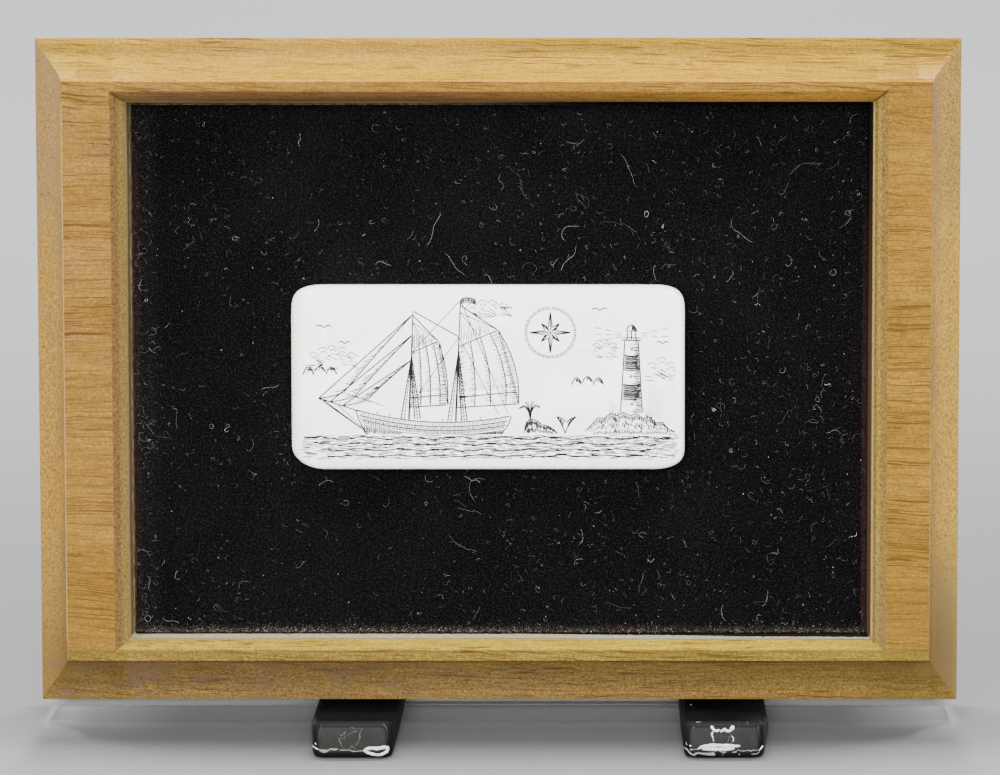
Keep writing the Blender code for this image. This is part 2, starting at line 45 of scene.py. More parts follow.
# The board's own axes: x along it, y from its back (0) to its face (-19), z up it
panel = {
    "lean": math.radians(7.0),
    "seat": Vector((0.0, 0.6791884405925614, 3.1)) * mm,
    "width": 177.8 * mm,
    "height": 128.0 * mm,
    "thickness": 19.0 * mm,
    "rail": 12.45 * mm,
    "leftStile": 17.8 * mm,
    "rightStile": 17.35 * mm,
    "velvetDepth": 9.0 * mm,
    "velvetThickness": 1.2 * mm,
    "gap": 0.3 * mm,
}
leaning = Matrix.Translation(panel["seat"]) @ Matrix.Rotation(-panel["lean"], 4, "X")
print("frame loaded")


# Helpers for meshes

def activate(item):
    for other in list(bpy.context.selected_objects):
        other.select_set(False)
    bpy.context.view_layer.objects.active = item
    item.select_set(True)


def applyAll(item):
    activate(item)
    for modifier in list(item.modifiers):
        bpy.ops.object.modifier_apply(modifier=modifier.name)


def settle(item, matrix):  # the mesh goes to its place, the object stays at the origin
    item.data.transform(matrix @ item.matrix_world)
    item.matrix_world = Matrix.Identity(4)


def copyNode(name, node):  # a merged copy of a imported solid, ready to be finished
    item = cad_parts[node].copy()
    item.data = item.data.copy()
    item.name = name
    item.data.name = name
    item.parent = None
    for key in list(item.keys()):
        del item[key]
    bpy.context.scene.collection.objects.link(item)
    activate(item)
    bpy.ops.object.mode_set(mode="EDIT")
    bpy.ops.mesh.select_all(action="SELECT")
    bpy.ops.mesh.remove_doubles(threshold=0.000002)
    bpy.ops.mesh.dissolve_limited(angle_limit=math.radians(0.6))
    bpy.ops.object.mode_set(mode="OBJECT")
    return item


def meshPiece(name, bm):
    mesh = bpy.data.meshes.new(name)
    bm.to_mesh(mesh)
    bm.free()
    item = bpy.data.objects.new(name, mesh)
    bpy.context.scene.collection.objects.link(item)
    return item


def smooth(item, angle):
    activate(item)
    bpy.ops.object.shade_smooth_by_angle(angle=math.radians(angle))


def finishPiece(item, material, slot, *nodes):
    item.data.materials.clear()
    for one in material if isinstance(material, list) else [material]:
        item.data.materials.append(one)
    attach(item, "root")
    if nodes:
        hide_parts(*nodes)
    print(item.name, "finished:", len(item.data.polygons), "faces")


# Helpers for materials

class Shade:  # one socket of a node tree; sums on it add Math nodes
    def __init__(self, tree, socket=None):
        self.tree = tree
        self.socket = socket

    def node(self, kind, settings=None, sockets=None, out=0):
        made = self.tree.nodes.new(kind)
        for name, value in (settings or {}).items():
            setattr(made, name, value)
        for key, value in (sockets or {}).items():
            if isinstance(value, Shade):
                self.tree.links.new(value.socket, made.inputs[key])
            else:
                made.inputs[key].default_value = value
        return Shade(self.tree, made.outputs[out])

    def math(self, operation, first, second=0.0):
        settings = {"operation": operation}
        return self.node("ShaderNodeMath", settings, {0: first, 1: second})

    def __add__(self, other):
        return self.math("ADD", self, other)

    __radd__ = __add__

    def __mul__(self, other):
        return self.math("MULTIPLY", self, other)

    __rmul__ = __mul__

    def __sub__(self, other):
        return self.math("SUBTRACT", self, other)

    def __rsub__(self, other):
        return self.math("SUBTRACT", other, self)

    def absolute(self):
        return self.math("ABSOLUTE", self)

    def limited(self):
        return self.node("ShaderNodeClamp", None, {0: self})

    def rise(self, low, high):  # 0 at low, 1 at high, smooth between
        settings = {"interpolation_type": "SMOOTHSTEP"}
        return self.node(
            "ShaderNodeMapRange", settings, {0: self, 1: low, 2: high, 3: 0.0, 4: 1.0}
        )

    def scaled(self, factors):  # a vector or colour times three factors
        settings = {"operation": "MULTIPLY"}
        return self.node("ShaderNodeVectorMath", settings, {0: self, 1: factors})

    def parts(self):
        made = self.node("ShaderNodeSeparateXYZ", None, {0: self}).socket.node
        return [Shade(self.tree, made.outputs[index]) for index in range(3)]

    def vector(self, x, y, z):
        return self.node("ShaderNodeCombineXYZ", None, {0: x, 1: y, 2: z})

    def stretched(self, factors):  # one factor counts for all three axes
        return self.scaled(factors if isinstance(factors, tuple) else (factors,) * 3)

    def grain(self, factors, detail=2.0, roughness=0.5):  # noise, stretched by factors
        sockets = {"Vector": self.stretched(factors), "Scale": 1.0}
        sockets.update({"Detail": detail, "Roughness": roughness})
        return self.node("ShaderNodeTexNoise", None, sockets)

    def spots(self, factors):  # distance to scattered points
        sockets = {"Vector": self.stretched(factors), "Scale": 1.0, "Randomness": 1.0}
        return self.node("ShaderNodeTexVoronoi", None, sockets)

    def mix(self, factor, first, second):
        sockets = {0: factor, 6: first, 7: second}
        return self.node("ShaderNodeMix", {"data_type": "RGBA"}, sockets, out=2)

    def over(self, mask, other):  # this colour, and the other one where the mask is 1
        return self.mix(mask, self, other)

    def tinted(self, mask, factors):
        return self.over(mask, self.scaled(factors))

    def lit(self, value):  # this colour, times one number that changes over the surface
        return self.scaled(self.vector(value, value, value))


def newMaterial(name, fixed):  # fixed: the sockets that are the same all over
    material = bpy.data.materials.new(name)
    material.use_nodes = True
    shader = material.node_tree.nodes["Principled BSDF"]
    for socket, value in fixed.items():
        shader.inputs[socket].default_value = value
    return material, Shade(material.node_tree), shader


def feed(shade, shader, socket):
    shade.tree.links.new(shade.socket, shader.inputs[socket])


def bump(height, strength, distance):
    sockets = {"Strength": strength, "Distance": distance, "Height": height}
    return height.node("ShaderNodeBump", None, sockets)


def worldPlace(start):  # Object coordinates in millimetres
    return start.node("ShaderNodeTexCoord", out=3).stretched(1 / mm)


def boardPlace(start):  # the same, along the leaning board
    turn = Matrix.Rotation(panel["lean"], 3, "X")
    origin = -(turn @ panel["seat"]) / mm
    sockets = {
        "Vector": start.node("ShaderNodeTexCoord", out=3),
        "Location": tuple(origin),
        "Rotation": (panel["lean"], 0.0, 0.0),
        "Scale": (1 / mm, 1 / mm, 1 / mm),
    }
    return start.node("ShaderNodeMapping", {"vector_type": "POINT"}, sockets)


def rgba(*colour):
    return (*colour, 1.0)


# Camera

camera = {
    "place": (0.01954, -0.55, 0.16638),
    "pitch": 10.529,
    "lens": 103.46,
    "shift": -0.1,
}


def makeCamera():
    data = bpy.data.cameras.new("camera")
    data.lens = camera["lens"]
    data.sensor_width = 36.0
    data.sensor_fit = "HORIZONTAL"
    data.shift_x = camera["shift"]
    data.clip_start = 0.01
    data.clip_end = 20.0
    item = bpy.data.objects.new("camera", data)
    item.location = camera["place"]
    item.rotation_euler = Euler((math.radians(90 - camera["pitch"]), 0.0, 0.0))
    bpy.context.scene.collection.objects.link(item)
    bpy.context.scene.camera = item
    print("camera placed")


makeCamera()


# Wooden board

wood = {
    "light": rgba(0.278, 0.155, 0.0310),
    "middle": rgba(0.225, 0.119, 0.0220),
    "dark": rgba(0.162, 0.079, 0.0158),
    "pore": rgba(0.050, 0.021, 0.006),
    "endGrain": rgba(0.245, 0.140, 0.031),
    "endShade": rgba(0.162, 0.104, 0.046),
    "worn": rgba(0.150, 0.100, 0.052),
    "arrisWearAndHighlight": rgba(0.34, 0.215, 0.075),
    "olive": rgba(0.112, 0.086, 0.036),
    "endGrey": rgba(0.112, 0.084, 0.048),
    "purple": rgba(0.100, 0.064, 0.050),
    "dustyWall": rgba(0.40, 0.38, 0.265),
    "lowPile": rgba(0.012, 0.009, 0.007),
    "paleFleck": rgba(0.38, 0.30, 0.20),
    "wallFront": rgba(0.275, 0.186, 0.082),
    "wallDeep": rgba(0.094, 0.066, 0.033),
    "wallLine": rgba(0.190, 0.155, 0.085),
    "lowFront": rgba(0.340, 0.225, 0.080),
    "rightWallPaintedShade": rgba(0.061, 0.037, 0.022),
    "rightWallTopPaintedShade": rgba(0.008, 0.006, 0.005),
    "groove": rgba(0.085, 0.058, 0.018),
    "rosyTint": (0.93, 0.90, 1.35),
    "stileTint": (0.88, 0.90, 0.92),
    "railTint": (0.97, 0.97, 0.97),
    "rightTint": (1.02, 1.01, 0.80),
    "topCovePaintedLight": (0.93, 1.00, 0.66),
    "topCoveInnerPaintedLight": (0.80, 0.76, 0.20),
    "topBevelPaintedShade": (0.50, 0.49, 0.85),
    "topBevelDeepPaintedShade": (0.38, 0.40, 0.66),
    "topCoveRimPaintedShade": (0.84, 0.85, 1.05),
    "lowFlatTint": (0.73, 0.90, 0.95),
    "lowBevelTint": (1.30, 1.66, 1.04),
    "lowCoveTint": (1.04, 0.98, 1.52),
    "lowCoveDeep": (0.80, 0.84, 0.90),
    "mouthOuter": (0.54, 0.53, 0.81),
    "mouthInner": (0.71, 0.81, 1.07),
    "mouthRight": (0.93, 0.98, 0.73),
    "mouthDeep": (0.53, 0.52, 0.63),
    "endRim": (1.03, 1.03, 0.97),
    "endRimRight": (0.90, 0.97, 0.87),
    "stileFootTint": (0.93, 0.90, 0.72),
    "endFootTint": (0.84, 0.80, 0.76),
    "rightHeadTint": (0.77, 0.79, 1.05),
    "leftHeadTint": (1.22, 1.26, 0.97),
    "arrisRound": 0.22 * mm,
    # Rows of pores: stretch along and across the grain, noise where one starts and is full
    "poreRows": (
        (0.045, 2.9, 0.585, 0.645),
        (0.075, 4.0, 0.555, 0.64),
        (0.12, 5.6, 0.55, 0.67),
        (0.10, 3.3, 0.57, 0.65),
    ),
}
# Middles and half widths of the pocket and of its flared mouth, in mm
mouth = {"middle": 0.42, "half": 73.87, "pocketMiddle": 0.22, "pocketHalf": 71.33}


def woodMaterial():
    material, start, shader = newMaterial("oiled hardwood", {"Specular IOR Level": 0.04})
    place = boardPlace(start)
    x, y, z = place.parts()
    beside = x.absolute()
    right = x.rise(-20.0, 20.0)
    fromMouth = (x - mouth["middle"]).absolute() - mouth["half"]
    fromPocket = (x - mouth["pocketMiddle"]).absolute() - mouth["pocketHalf"]
    stile = fromMouth.rise(-1.0, 0.3)
    rails = fromMouth.rise(0.5, -0.3)
    aboveMouth = z.rise(119.2, 119.6)

    # The grain runs along the board, falls a little to the right and wavers
    drift = place.grain((0.007, 0.02, 0.02))
    waver = place.grain((0.18, 0.25, 0.25))
    risen = z + x * 0.03 + (drift - 0.5) * 14.0 + (waver - 0.5) * 0.9
    warped = start.vector(x, y, risen)
    broad = warped.grain((0.010, 0.14, 0.14))
    streak = warped.grain((0.045, 0.85, 0.85), 3.0, 0.6)
    fineGrain = warped.grain((0.30, 4.2, 4.2), 3.0, 0.65)
    grit = place.grain((2.0, 2.6, 2.6), 3.0, 0.75)
    broken = grit.rise(0.3, 0.6)
    band = (broad * 0.55 + streak * 0.45 + fineGrain * 0.28 - 0.14).rise(0.30, 0.70)
    colour = start.mix(band, wood["dark"], wood["light"]).over(0.35, wood["middle"])
    rosy = place.grain((0.10, 0.16, 0.16), 3.0, 0.6).rise(0.46, 0.64)
    rosy = rosy * (0.15 + 0.75 * x.rise(20.0, -70.0) * z.rise(30.0, 110.0))
    colour = colour.tinted(rosy, wood["rosyTint"]).lit((grit - 0.5) * 1.9 + 1.0)

    # Dark pore lines: thin and long on the stiles, short dashes on the rails
    gather = warped.grain((0.02, 0.16, 0.16)).rise(0.40, 0.56)
    full, second, third, short = [
        warped.grain((length, width, width), 1.0).rise(low, high)
        for length, width, low, high in wood["poreRows"]
    ]
    gaps = place.grain((0.5, 1.5, 1.5)).rise(0.36, 0.50)
    close = full * (0.40 + 0.60 * gather) + second * (0.35 + 0.5 * gather) * gaps
    close = close + third * 0.35 * gaps
    apart = short * (0.30 + 0.70 * gather) * 0.95 + second * 0.32 * gaps + third * 0.22
    pores = (apart + (close - apart) * stile).limited() * (0.55 + 0.45 * broken)

    # End grain: granular and paler, greyer beside the flats
    normal = start.node("ShaderNodeNewGeometry", out=1)
    ends = normal.parts()[0].absolute().rise(0.07, 0.22)
    grains = place.grain(2.1, 3.0, 0.75)
    cells = place.spots(1.9).rise(0.30, 0.12) * grains.rise(0.45, 0.62)
    veil = place.grain((0.25, 0.25, 0.06)).rise(0.35, 0.65)
    outer = beside.rise(80.0, 81.0)
    shaded = beside.rise(85.6, 83.2) * outer * veil
    endColour = start.mix(shaded * 0.75, wood["endGrain"], wood["endShade"])
    # End grain on the right is painted lighter than on the left, for the light from that side
    endColour = endColour.lit(((grains - 0.5) * 2.9 + 1.0) * (0.865 + 0.32 * right))
    rimTint = start.mix(right, rgba(*wood["endRim"]), rgba(*wood["endRimRight"]))
    endColour = endColour.tinted(beside.rise(85.6, 87.2), rimTint).over(cells * 0.6, wood["pore"])
    flare = start.mix(
        fromMouth.rise(-0.8, -1.6),
        endColour.scaled(wood["mouthOuter"]),
        endColour.scaled(wood["mouthInner"]),
    )
    flare = flare.tinted(right, wood["mouthRight"])
    flare = flare.tinted(right * fromMouth.rise(-1.4, -2.2), wood["mouthDeep"])
    endColour = endColour.over(1.0 - outer, flare)

    # Tints that follow the light and the handling of each member
    underRail = z.rise(114.0, 115.0) * z.rise(117.6, 117.2) * rails
    for mask, name in (
        (1.0 - rails, "stileTint"),
        (rails * z.rise(119.6, 119.2), "railTint"),
        (x.rise(-60.0, 70.0), "rightTint"),
        # painted light on the top cove
        (aboveMouth, "topCovePaintedLight"),
        (aboveMouth * z.rise(124.8, 120.0), "topCoveInnerPaintedLight"),
        # painted shade on the top bevel, which faces down, deepest towards the velvet
        (underRail * x.rise(70.0, -20.0), "topBevelPaintedShade"),
        (z.rise(117.1, 115.4) * underRail * x.rise(95.0, -60.0), "topBevelDeepPaintedShade"),
        # painted shade along the top cove's outer edge
        ((z - 125.6).absolute().rise(1.5, 0.5), "topCoveRimPaintedShade"),
        (z.rise(10.9, 10.5), "lowFlatTint"),
        (z.rise(10.5, 10.9) * z.rise(14.0, 13.2) * rails, "lowBevelTint"),
        (z.rise(8.9, 8.4), "lowCoveTint"),
        ((z - 4.7).absolute().rise(3.6, 0.8), "lowCoveDeep"),
    ):
        colour = colour.tinted(mask, wood[name])
    lowGrit = z.rise(11.2, 10.0) * ((grains - 0.5) * 1.9 + (grit - 0.5) * 0.6)
    scored = (z - 10.25).absolute().rise(0.34, 0.10) * y.rise(-18.0, -18.8)
    colour = colour.lit(lowGrit + 1.0).over(scored * 0.35 * broken, wood["groove"])
    colour = colour.over(pores * 0.85, wood["pore"]).over(ends, endColour)

    # Rubbed, greyish patches: high on the left end, low at both corners
    patch = place.grain((0.12, 0.12, 0.07), 3.0, 0.6)
    flecks = grains.rise(0.32, 0.62)
    rubbed = x.rise(-82.4, -84.5) * (z.rise(30.0, 120.0) * 0.5 + patch).rise(0.70, 0.98)
    rubbed = rubbed * (0.1 + 0.9 * ends)
    corner = (beside.rise(60.0, 84.0) + x.rise(40.0, 84.0) * 0.5 + patch * 0.8).rise(0.9, 1.7)
    soiled = z.rise(38.0, 10.0) * corner * (0.35 + 0.65 * flecks)
    grey = (x - 86.2).absolute().rise(2.6, 1.2) * (z + patch * 16.0 - 8.0).rise(37.0, 17.0)
    grey = grey * ends * (0.35 + 0.65 * grains.rise(0.36, 0.58))
    for mask, name in (
        (rubbed * (0.10 + 0.90 * flecks) * 0.85, "worn"),
        (rubbed * grains.rise(0.60, 0.74) * 0.8, "paleFleck"),
        (soiled * (0.28 + 0.45 * ends), "olive"),
        (grey * 0.75, "endGrey"),
    ):
        colour = colour.over(mask, wood[name])
    bare = 1.0 - ends
    for mask, name in (
        (z.rise(40.0, 22.0) * beside.rise(70.5, 72.5) * bare, "stileFootTint"),
        (z.rise(24.0, 8.0) * beside.rise(80.5, 81.5) * ends, "endFootTint"),
        (z.rise(88.0, 104.0) * x.rise(80.5, 81.5) * ends, "rightHeadTint"),
        (aboveMouth * x.rise(-62.0, -76.0) * bare, "leftHeadTint"),
    ):
        colour = colour.tinted(mask, wood[name])
    bruised = place.grain((0.16, 0.3, 0.3), 3.0, 0.65).rise(0.46, 0.62) * z.rise(8.8, 7.6)
    colour = colour.over(bruised * flecks * 0.8 * x.rise(60.0, -90.0), wood["purple"])

    # Light lines on the arrises of the left stile: partly wear, partly painted highlight
    for edge, depth in ((-82.8, 0.75), (71.8, 0.6)):
        line = (x - edge).absolute().rise(0.30, 0.08) * y.rise(-16.0, -16.6)
        line = line * z.rise(11.0, 14.0) * z.rise(116.5, 113.5) * grains.rise(0.2, 0.5)
        colour = colour.over(line * depth, wood["arrisWearAndHighlight"])

    # Dark lines in the mitres of the mouth, at its top corners
    mitre = (fromPocket * 0.75 - (z - 115.55)).absolute().rise(0.50, 0.12)
    mitre = mitre * z.rise(115.3, 115.8) * fromMouth.rise(0.3, -0.2)
    colour = colour.over(mitre * 0.75, wood["pore"])

    # Walls of the pocket: pale dust below, bare at the left, painted shade on the right, darkest
    # towards the top
    pocket = fromPocket.rise(1.2, 0.4) * z.rise(11.4, 12.2) * z.rise(116.8, 116.0)
    crumbs = place.grain((1.6, 2.2, 2.2), 3.0, 0.7)
    sway = place.grain((0.12, 0.12, 0.02), 3.0, 0.6) - 0.5
    depth = y + sway * 3.0
    rim = depth.rise(-11.9, -11.3) * place.grain((0.8, 0.8, 0.5)).rise(0.42, 0.55)
    left = start.mix(depth.rise(-15.2, -13.6), wood["wallFront"], wood["wallDeep"])
    left = left.over(rim, wood["wallLine"]).lit((grains - 0.5) * 2.0 + 1.0)
    dark = start.mix(z.rise(60.0, 112.0), wood["rightWallPaintedShade"], wood["rightWallTopPaintedShade"])
    swell = (place.grain((0.045, 0.3, 0.3)) - 0.5) * 5.0 + x * 0.006
    sag = x.rise(-10.0, 68.0)
    frontDepth = y + swell * 0.7 + sag * 0.7
    pile = (y + swell * 0.4 + (crumbs - 0.5) * 2.4 + sag * 4.0).rise(-9.8, -9.2)
    dusty = start.mix(crumbs.rise(0.42, 0.66) * 0.6, wood["dustyWall"], wood["groove"])
    for mask, name in (
        (frontDepth.rise(-15.1, -15.5), "lowFront"),
        ((frontDepth + 15.4).absolute().rise(0.45, 0.15) * 0.6, "groove"),
        (pile, "lowPile"),
    ):
        dusty = dusty.over(mask, wood[name])
    wall = left.over(right, dark).over(z.rise(12.9, 12.6), dusty)
    feed(colour.over(y.rise(-17.0, -16.75) * pocket, wall), shader, "Base Color")

    rough = 0.6 + 0.16 * fineGrain + ends * 0.12 + rubbed * 0.1 + z.rise(118.6, 119.6) * 0.3
    feed(rough.limited(), shader, "Roughness")
    relief = fineGrain * 0.3 + streak * 0.2 - pores * 0.9 + ends * grains * 0.9
    feed(bump(relief, 0.35, 0.00010), shader, "Normal")
    return material


def makeBoard():
    board = copyNode("coved_board", "wood_frame")
    edge = board.modifiers.new("worn arrises", "BEVEL")
    edge.width = wood["arrisRound"]
    edge.segments = 2
    edge.limit_method = "ANGLE"
    edge.angle_limit = math.radians(22)
    applyAll(board)
    smooth(board, 24)
    finishPiece(board, woodMaterial(), "oiled_wood", "wood_frame")


makeBoard()


# Velvet: the cloth, its pile along the edges, lint and dust

velvet = {
    "cell": 1.4 * mm,
    "swell": 0.10 * mm,
    "edgeDrop": 0.25 * mm,
    "edgeReach": 1.6 * mm,
    "pileHairs": 9000,
    "fuzzHairs": 5200,
    "pileLength": (0.35 * mm, 0.95 * mm),
    "pileWidth": 0.04 * mm,
    "fuzzLength": (0.2, 0.8),
    "fuzzWidth": (0.02, 0.05),
    "specks": 330,
    "curlSteps": 11,
    "black": rgba(0.0003, 0.0003, 0.00035),
    "worn": rgba(0.0146, 0.0120, 0.0146),
    "brown": rgba(0.029, 0.0130, 0.0105),
    "rubbed": rgba(0.0260, 0.0205, 0.0195),
    "dusty": rgba(0.030, 0.023, 0.0170),
    "pile": rgba(0.022, 0.022, 0.023),
    "fuzzPale": rgba(0.44, 0.41, 0.34),
    "fuzzBrown": rgba(0.10, 0.082, 0.062),
    "dust": rgba(0.42, 0.41, 0.39),
    "lint": {
        "white": rgba(0.62, 0.62, 0.61),
        "grey": rgba(0.25, 0.25, 0.25),
        "dim": rgba(0.105, 0.102, 0.108),
    },
}
# Loose fibres: how many, shortest and longest, radius, bend at each step, share of tones
fibres = (
    (16, 5.0 * mm, 9.0 * mm, 0.024 * mm, 0.10, (0.1, 0.5, 0.4)),
    (230, 1.6 * mm, 4.6 * mm, 0.022 * mm, 0.28, (0.06, 0.34, 0.60)),
    (1300, 0.5 * mm, 1.8 * mm, 0.020 * mm, 0.35, (0.01, 0.19, 0.80)),
)
leftX = -panel["width"] / 2 + panel["leftStile"] + panel["gap"]
rightX = panel["width"] / 2 - panel["rightStile"] - panel["gap"]
halfX = (rightX - leftX) / 2
middleX = (rightX + leftX) / 2
halfZ = panel["height"] / 2 - panel["rail"] - panel["gap"]
middleZ = panel["height"] / 2
footZ = middleZ - halfZ
napY = -panel["thickness"] + panel["velvetDepth"]


def velvetMaterial():
    fixed = {
        "Roughness": 0.95,
        "Specular IOR Level": 0.06,
        "Sheen Weight": 0.02,
        "Sheen Roughness": 0.45,
        "Sheen Tint": rgba(0.55, 0.55, 0.6),
    }
    material, start, shader = newMaterial("black velvet pile", fixed)
    place = boardPlace(start)
    x, y, z = place.parts()
    mottle = place.grain(1.5, 5.0, 0.85)
    spark = place.grain(2.9, 1.0).rise(0.50, 0.72)
    lay = place.grain(0.05, 3.0)
    tone = (mottle * 0.8 + lay * 0.3).rise(0.48, 0.86) * 0.45 + spark * 0.62
    colour = start.mix(tone.limited(), velvet["black"], velvet["worn"])

    # Brown strips beside the walls, fainter towards the top, and dust along the foot
    ragged = place.grain(0.5, 3.0, 0.7) - 0.5
    strip = (x + ragged * 1.6).rise(-69.0, -70.5) * (0.55 + 0.45 * z.rise(20.0, 60.0))
    strip = strip * z.rise(116.0, 100.0)
    strip = strip + (x + ragged * 0.5).rise(70.1, 70.7) * z.rise(112.0, 60.0)
    rough = (mottle + spark * 0.3).rise(0.38, 0.68)
    for mask, name in (
        # painted sheen: a lighter band near the left wall, in the rubbed colour
        ((x + ragged * 3.0).rise(-64.5, -69.5) * 0.30 * rough, "rubbed"),
        (strip * (0.35 + 0.65 * rough), "brown"),
        ((z + ragged * 1.8).rise(14.7, 12.9) * rough, "dusty"),
    ):
        colour = colour.over(mask, velvet[name])
    feed(colour, shader, "Base Color")
    tuft = place.grain(3.0, 2.0, 0.7)
    feed(bump(tuft + mottle * 0.8, 0.9, 0.00025), shader, "Normal")
    return material


def makeVelvet():
    bpy.ops.object.select_all(action="DESELECT")
    bpy.ops.mesh.primitive_cube_add(size=1.0, location=(0, 0, 0))
    cloth = bpy.context.active_object
    cloth.name = cloth.data.name = "velvet_cloth"
    cloth.dimensions = (halfX * 2, panel["velvetThickness"], halfZ * 2)
    bpy.ops.object.transform_apply(scale=True)
    bm = bmesh.new()
    bm.from_mesh(cloth.data)
    for axis, half in ((0, halfX), (2, halfZ)):
        count = int(2 * half / velvet["cell"])
        way = [float(other == axis) for other in range(3)]
        for step in range(1, count):
            point = [part * (-half + 2 * half * step / count) for part in way]
            parts = bm.verts[:] + bm.edges[:] + bm.faces[:]
            bmesh.ops.bisect_plane(bm, geom=parts, plane_co=point, plane_no=way)
    for vert in bm.verts:
        if vert.co.y > 0:
            continue
        near = min(halfX - abs(vert.co.x), halfZ - abs(vert.co.z))
        sag = noise.noise(Vector((vert.co.x, 0, vert.co.z)) * 60) * velvet["swell"]
        sag += noise.noise(Vector((vert.co.x, 5, vert.co.z)) * 260) * velvet["swell"] * 0.4
        drop = velvet["edgeDrop"] * max(0.0, 1 - near / velvet["edgeReach"]) ** 2
        vert.co.y += abs(sag) + drop
    bm.to_mesh(cloth.data)
    bm.free()
    shift = Matrix.Translation((middleX, napY + panel["velvetThickness"] / 2, middleZ))
    settle(cloth, leaning @ shift)
    smooth(cloth, 50)
    finishPiece(cloth, velvetMaterial(), "black_velvet", "velvet_lining")
    return cloth


def plainMaterial(name, colour, roughness, spread=0.25):
    fixed = {"Roughness": roughness, "Specular IOR Level": 0.3}
    material, start, shader = newMaterial(name, fixed)
    shade = worldPlace(start).grain(0.8, 3.0, 0.6).rise(0.3, 0.7)
    darker = rgba(*(part * (1 - spread) for part in colour[:3]))
    feed(start.mix(shade, darker, colour), shader, "Base Color")
    feed(roughness + 0.2 * (shade - 0.5), shader, "Roughness")
    return material


def onNap(x, z, lift=0.0):  # a place on the velvet, in the board's axes
    return Vector((x, napY - lift, z))


def onCloth(x, z, margin=0.1 * mm):
    return abs(x - middleX) < halfX - margin and abs(z - middleZ) < halfZ - margin


def onPlaque(x, z):
    u, v = x - plaque["place"][0], z - plaque["place"][2]
    return abs(u) < plaque["width"] / 2 + mm and abs(v) < plaque["height"] / 2 + mm


def somewhere(draw, share=1.0):  # a place in the pocket, clear of its foot and head by share
    return draw.uniform(leftX, rightX), middleZ + draw.uniform(-halfZ, halfZ) * share


def addHair(bm, draw, x, z, length, width):  # one thin spike, three sided
    foot = onNap(x, z, -0.15 * mm)
    way = Vector((draw.gauss(0, 0.6), -1.0, draw.gauss(0, 0.6))).normalized()
    side = Vector((draw.uniform(-1, 1), 0.0, draw.uniform(-1, 1))).normalized()
    other = side.cross(Vector((0, 1, 0)))
    base = [
        bm.verts.new(foot + side * width),
        bm.verts.new(foot - side * width * 0.5 + other * width * 0.87),
        bm.verts.new(foot - side * width * 0.5 - other * width * 0.87),
    ]
    top = bm.verts.new(foot + way * length)
    bm.faces.new(base)
    for a, b in ((0, 1), (1, 2), (2, 0)):
        bm.faces.new((base[b], base[a], top))


def clothPiece(name, bm, colour, roughness=0.8, spread=0.25):
    bmesh.ops.recalc_face_normals(bm, faces=bm.faces)
    item = meshPiece(name, bm)
    settle(item, leaning)
    material = plainMaterial(name.replace("_", " "), colour, roughness, spread)
    finishPiece(item, material, "black_velvet")
    return item


def makePile(draw):  # dark hairs all over, thicker round the edges and over the plaque
    bm = bmesh.new()
    plaqueX, plaqueZ = plaque["place"][0], plaque["place"][2]
    for index in range(velvet["pileHairs"]):
        kind = draw.random()
        x, z = somewhere(draw)
        if kind < 0.20:
            z = footZ + abs(draw.gauss(0, 1.9 * mm))
        elif kind < 0.40:
            x = leftX + abs(draw.gauss(0, 1.7 * mm))
        elif kind < 0.52:
            x = rightX - abs(draw.gauss(0, 1.5 * mm))
        elif kind < 0.60:
            z = middleZ + halfZ - abs(draw.gauss(0, 1.0 * mm))
        elif kind < 0.74:
            x = plaqueX + draw.uniform(-0.5, 0.5) * plaque["width"]
            z = plaqueZ + plaque["height"] / 2 + abs(draw.gauss(0, 1.3 * mm))
        if onCloth(x, z):
            addHair(bm, draw, x, z, draw.uniform(*velvet["pileLength"]), velvet["pileWidth"])
    return clothPiece("velvet_pile", bm, velvet["pile"])


def makeFuzz(draw):  # dusty hairs and crumbs along the foot of the pocket
    pale, brown = bmesh.new(), bmesh.new()
    for index in range(velvet["fuzzHairs"]):
        x = draw.uniform(leftX, rightX)
        heap = 0.5 + noise.noise(Vector((x * 120, 0.0, 3.0)))
        heap += 0.35 * (x < 0) + 0.5 * noise.noise(Vector((x * 500, 0.0, 9.0)))
        z = footZ + draw.expovariate(1.0) * (0.35 + 0.35 * max(heap, 0.0)) * mm
        if draw.random() > 0.25 + 0.6 * heap or not onCloth(x, z):
            continue
        length = draw.uniform(*velvet["fuzzLength"]) * mm
        width = draw.uniform(*velvet["fuzzWidth"]) * mm
        addHair(pale if draw.random() < 0.33 else brown, draw, x, z, length, width)
    return [
        clothPiece("velvet_fuzz_pale", pale, velvet["fuzzPale"], 0.8, 0.6),
        clothPiece("velvet_fuzz_brown", brown, velvet["fuzzBrown"], 0.8, 0.6),
    ]


def addTube(bm, points, radius):  # a closed thin tube, three sided, with pointed ends
    rings = []
    for before, point, after in zip(points, points[1:], points[2:]):
        way = (after - before).normalized()
        side = way.orthogonal().normalized()
        other = way.cross(side)
        angles = [2 * math.pi * step / 3 for step in range(3)]
        offsets = [side * math.cos(angle) + other * math.sin(angle) for angle in angles]
        rings.append([bm.verts.new(point + offset * radius) for offset in offsets])

    for first, second in zip(rings, rings[1:]):
        def twist(turn):  # how far the second ring is from fitting the first, turned so
            return sum((first[k].co - second[(k + turn) % 3].co).length for k in range(3))

        best = min(range(3), key=twist)
        second[:] = second[best:] + second[:best]
        for k in range(3):
            m = (k + 1) % 3
            bm.faces.new((first[k], first[m], second[m], second[k]))
    for ring, point in ((rings[0], points[0]), (rings[-1], points[-1])):
        end = bm.verts.new(point)
        for k in range(3):
            bm.faces.new((ring[k], end, ring[(k + 1) % 3]))


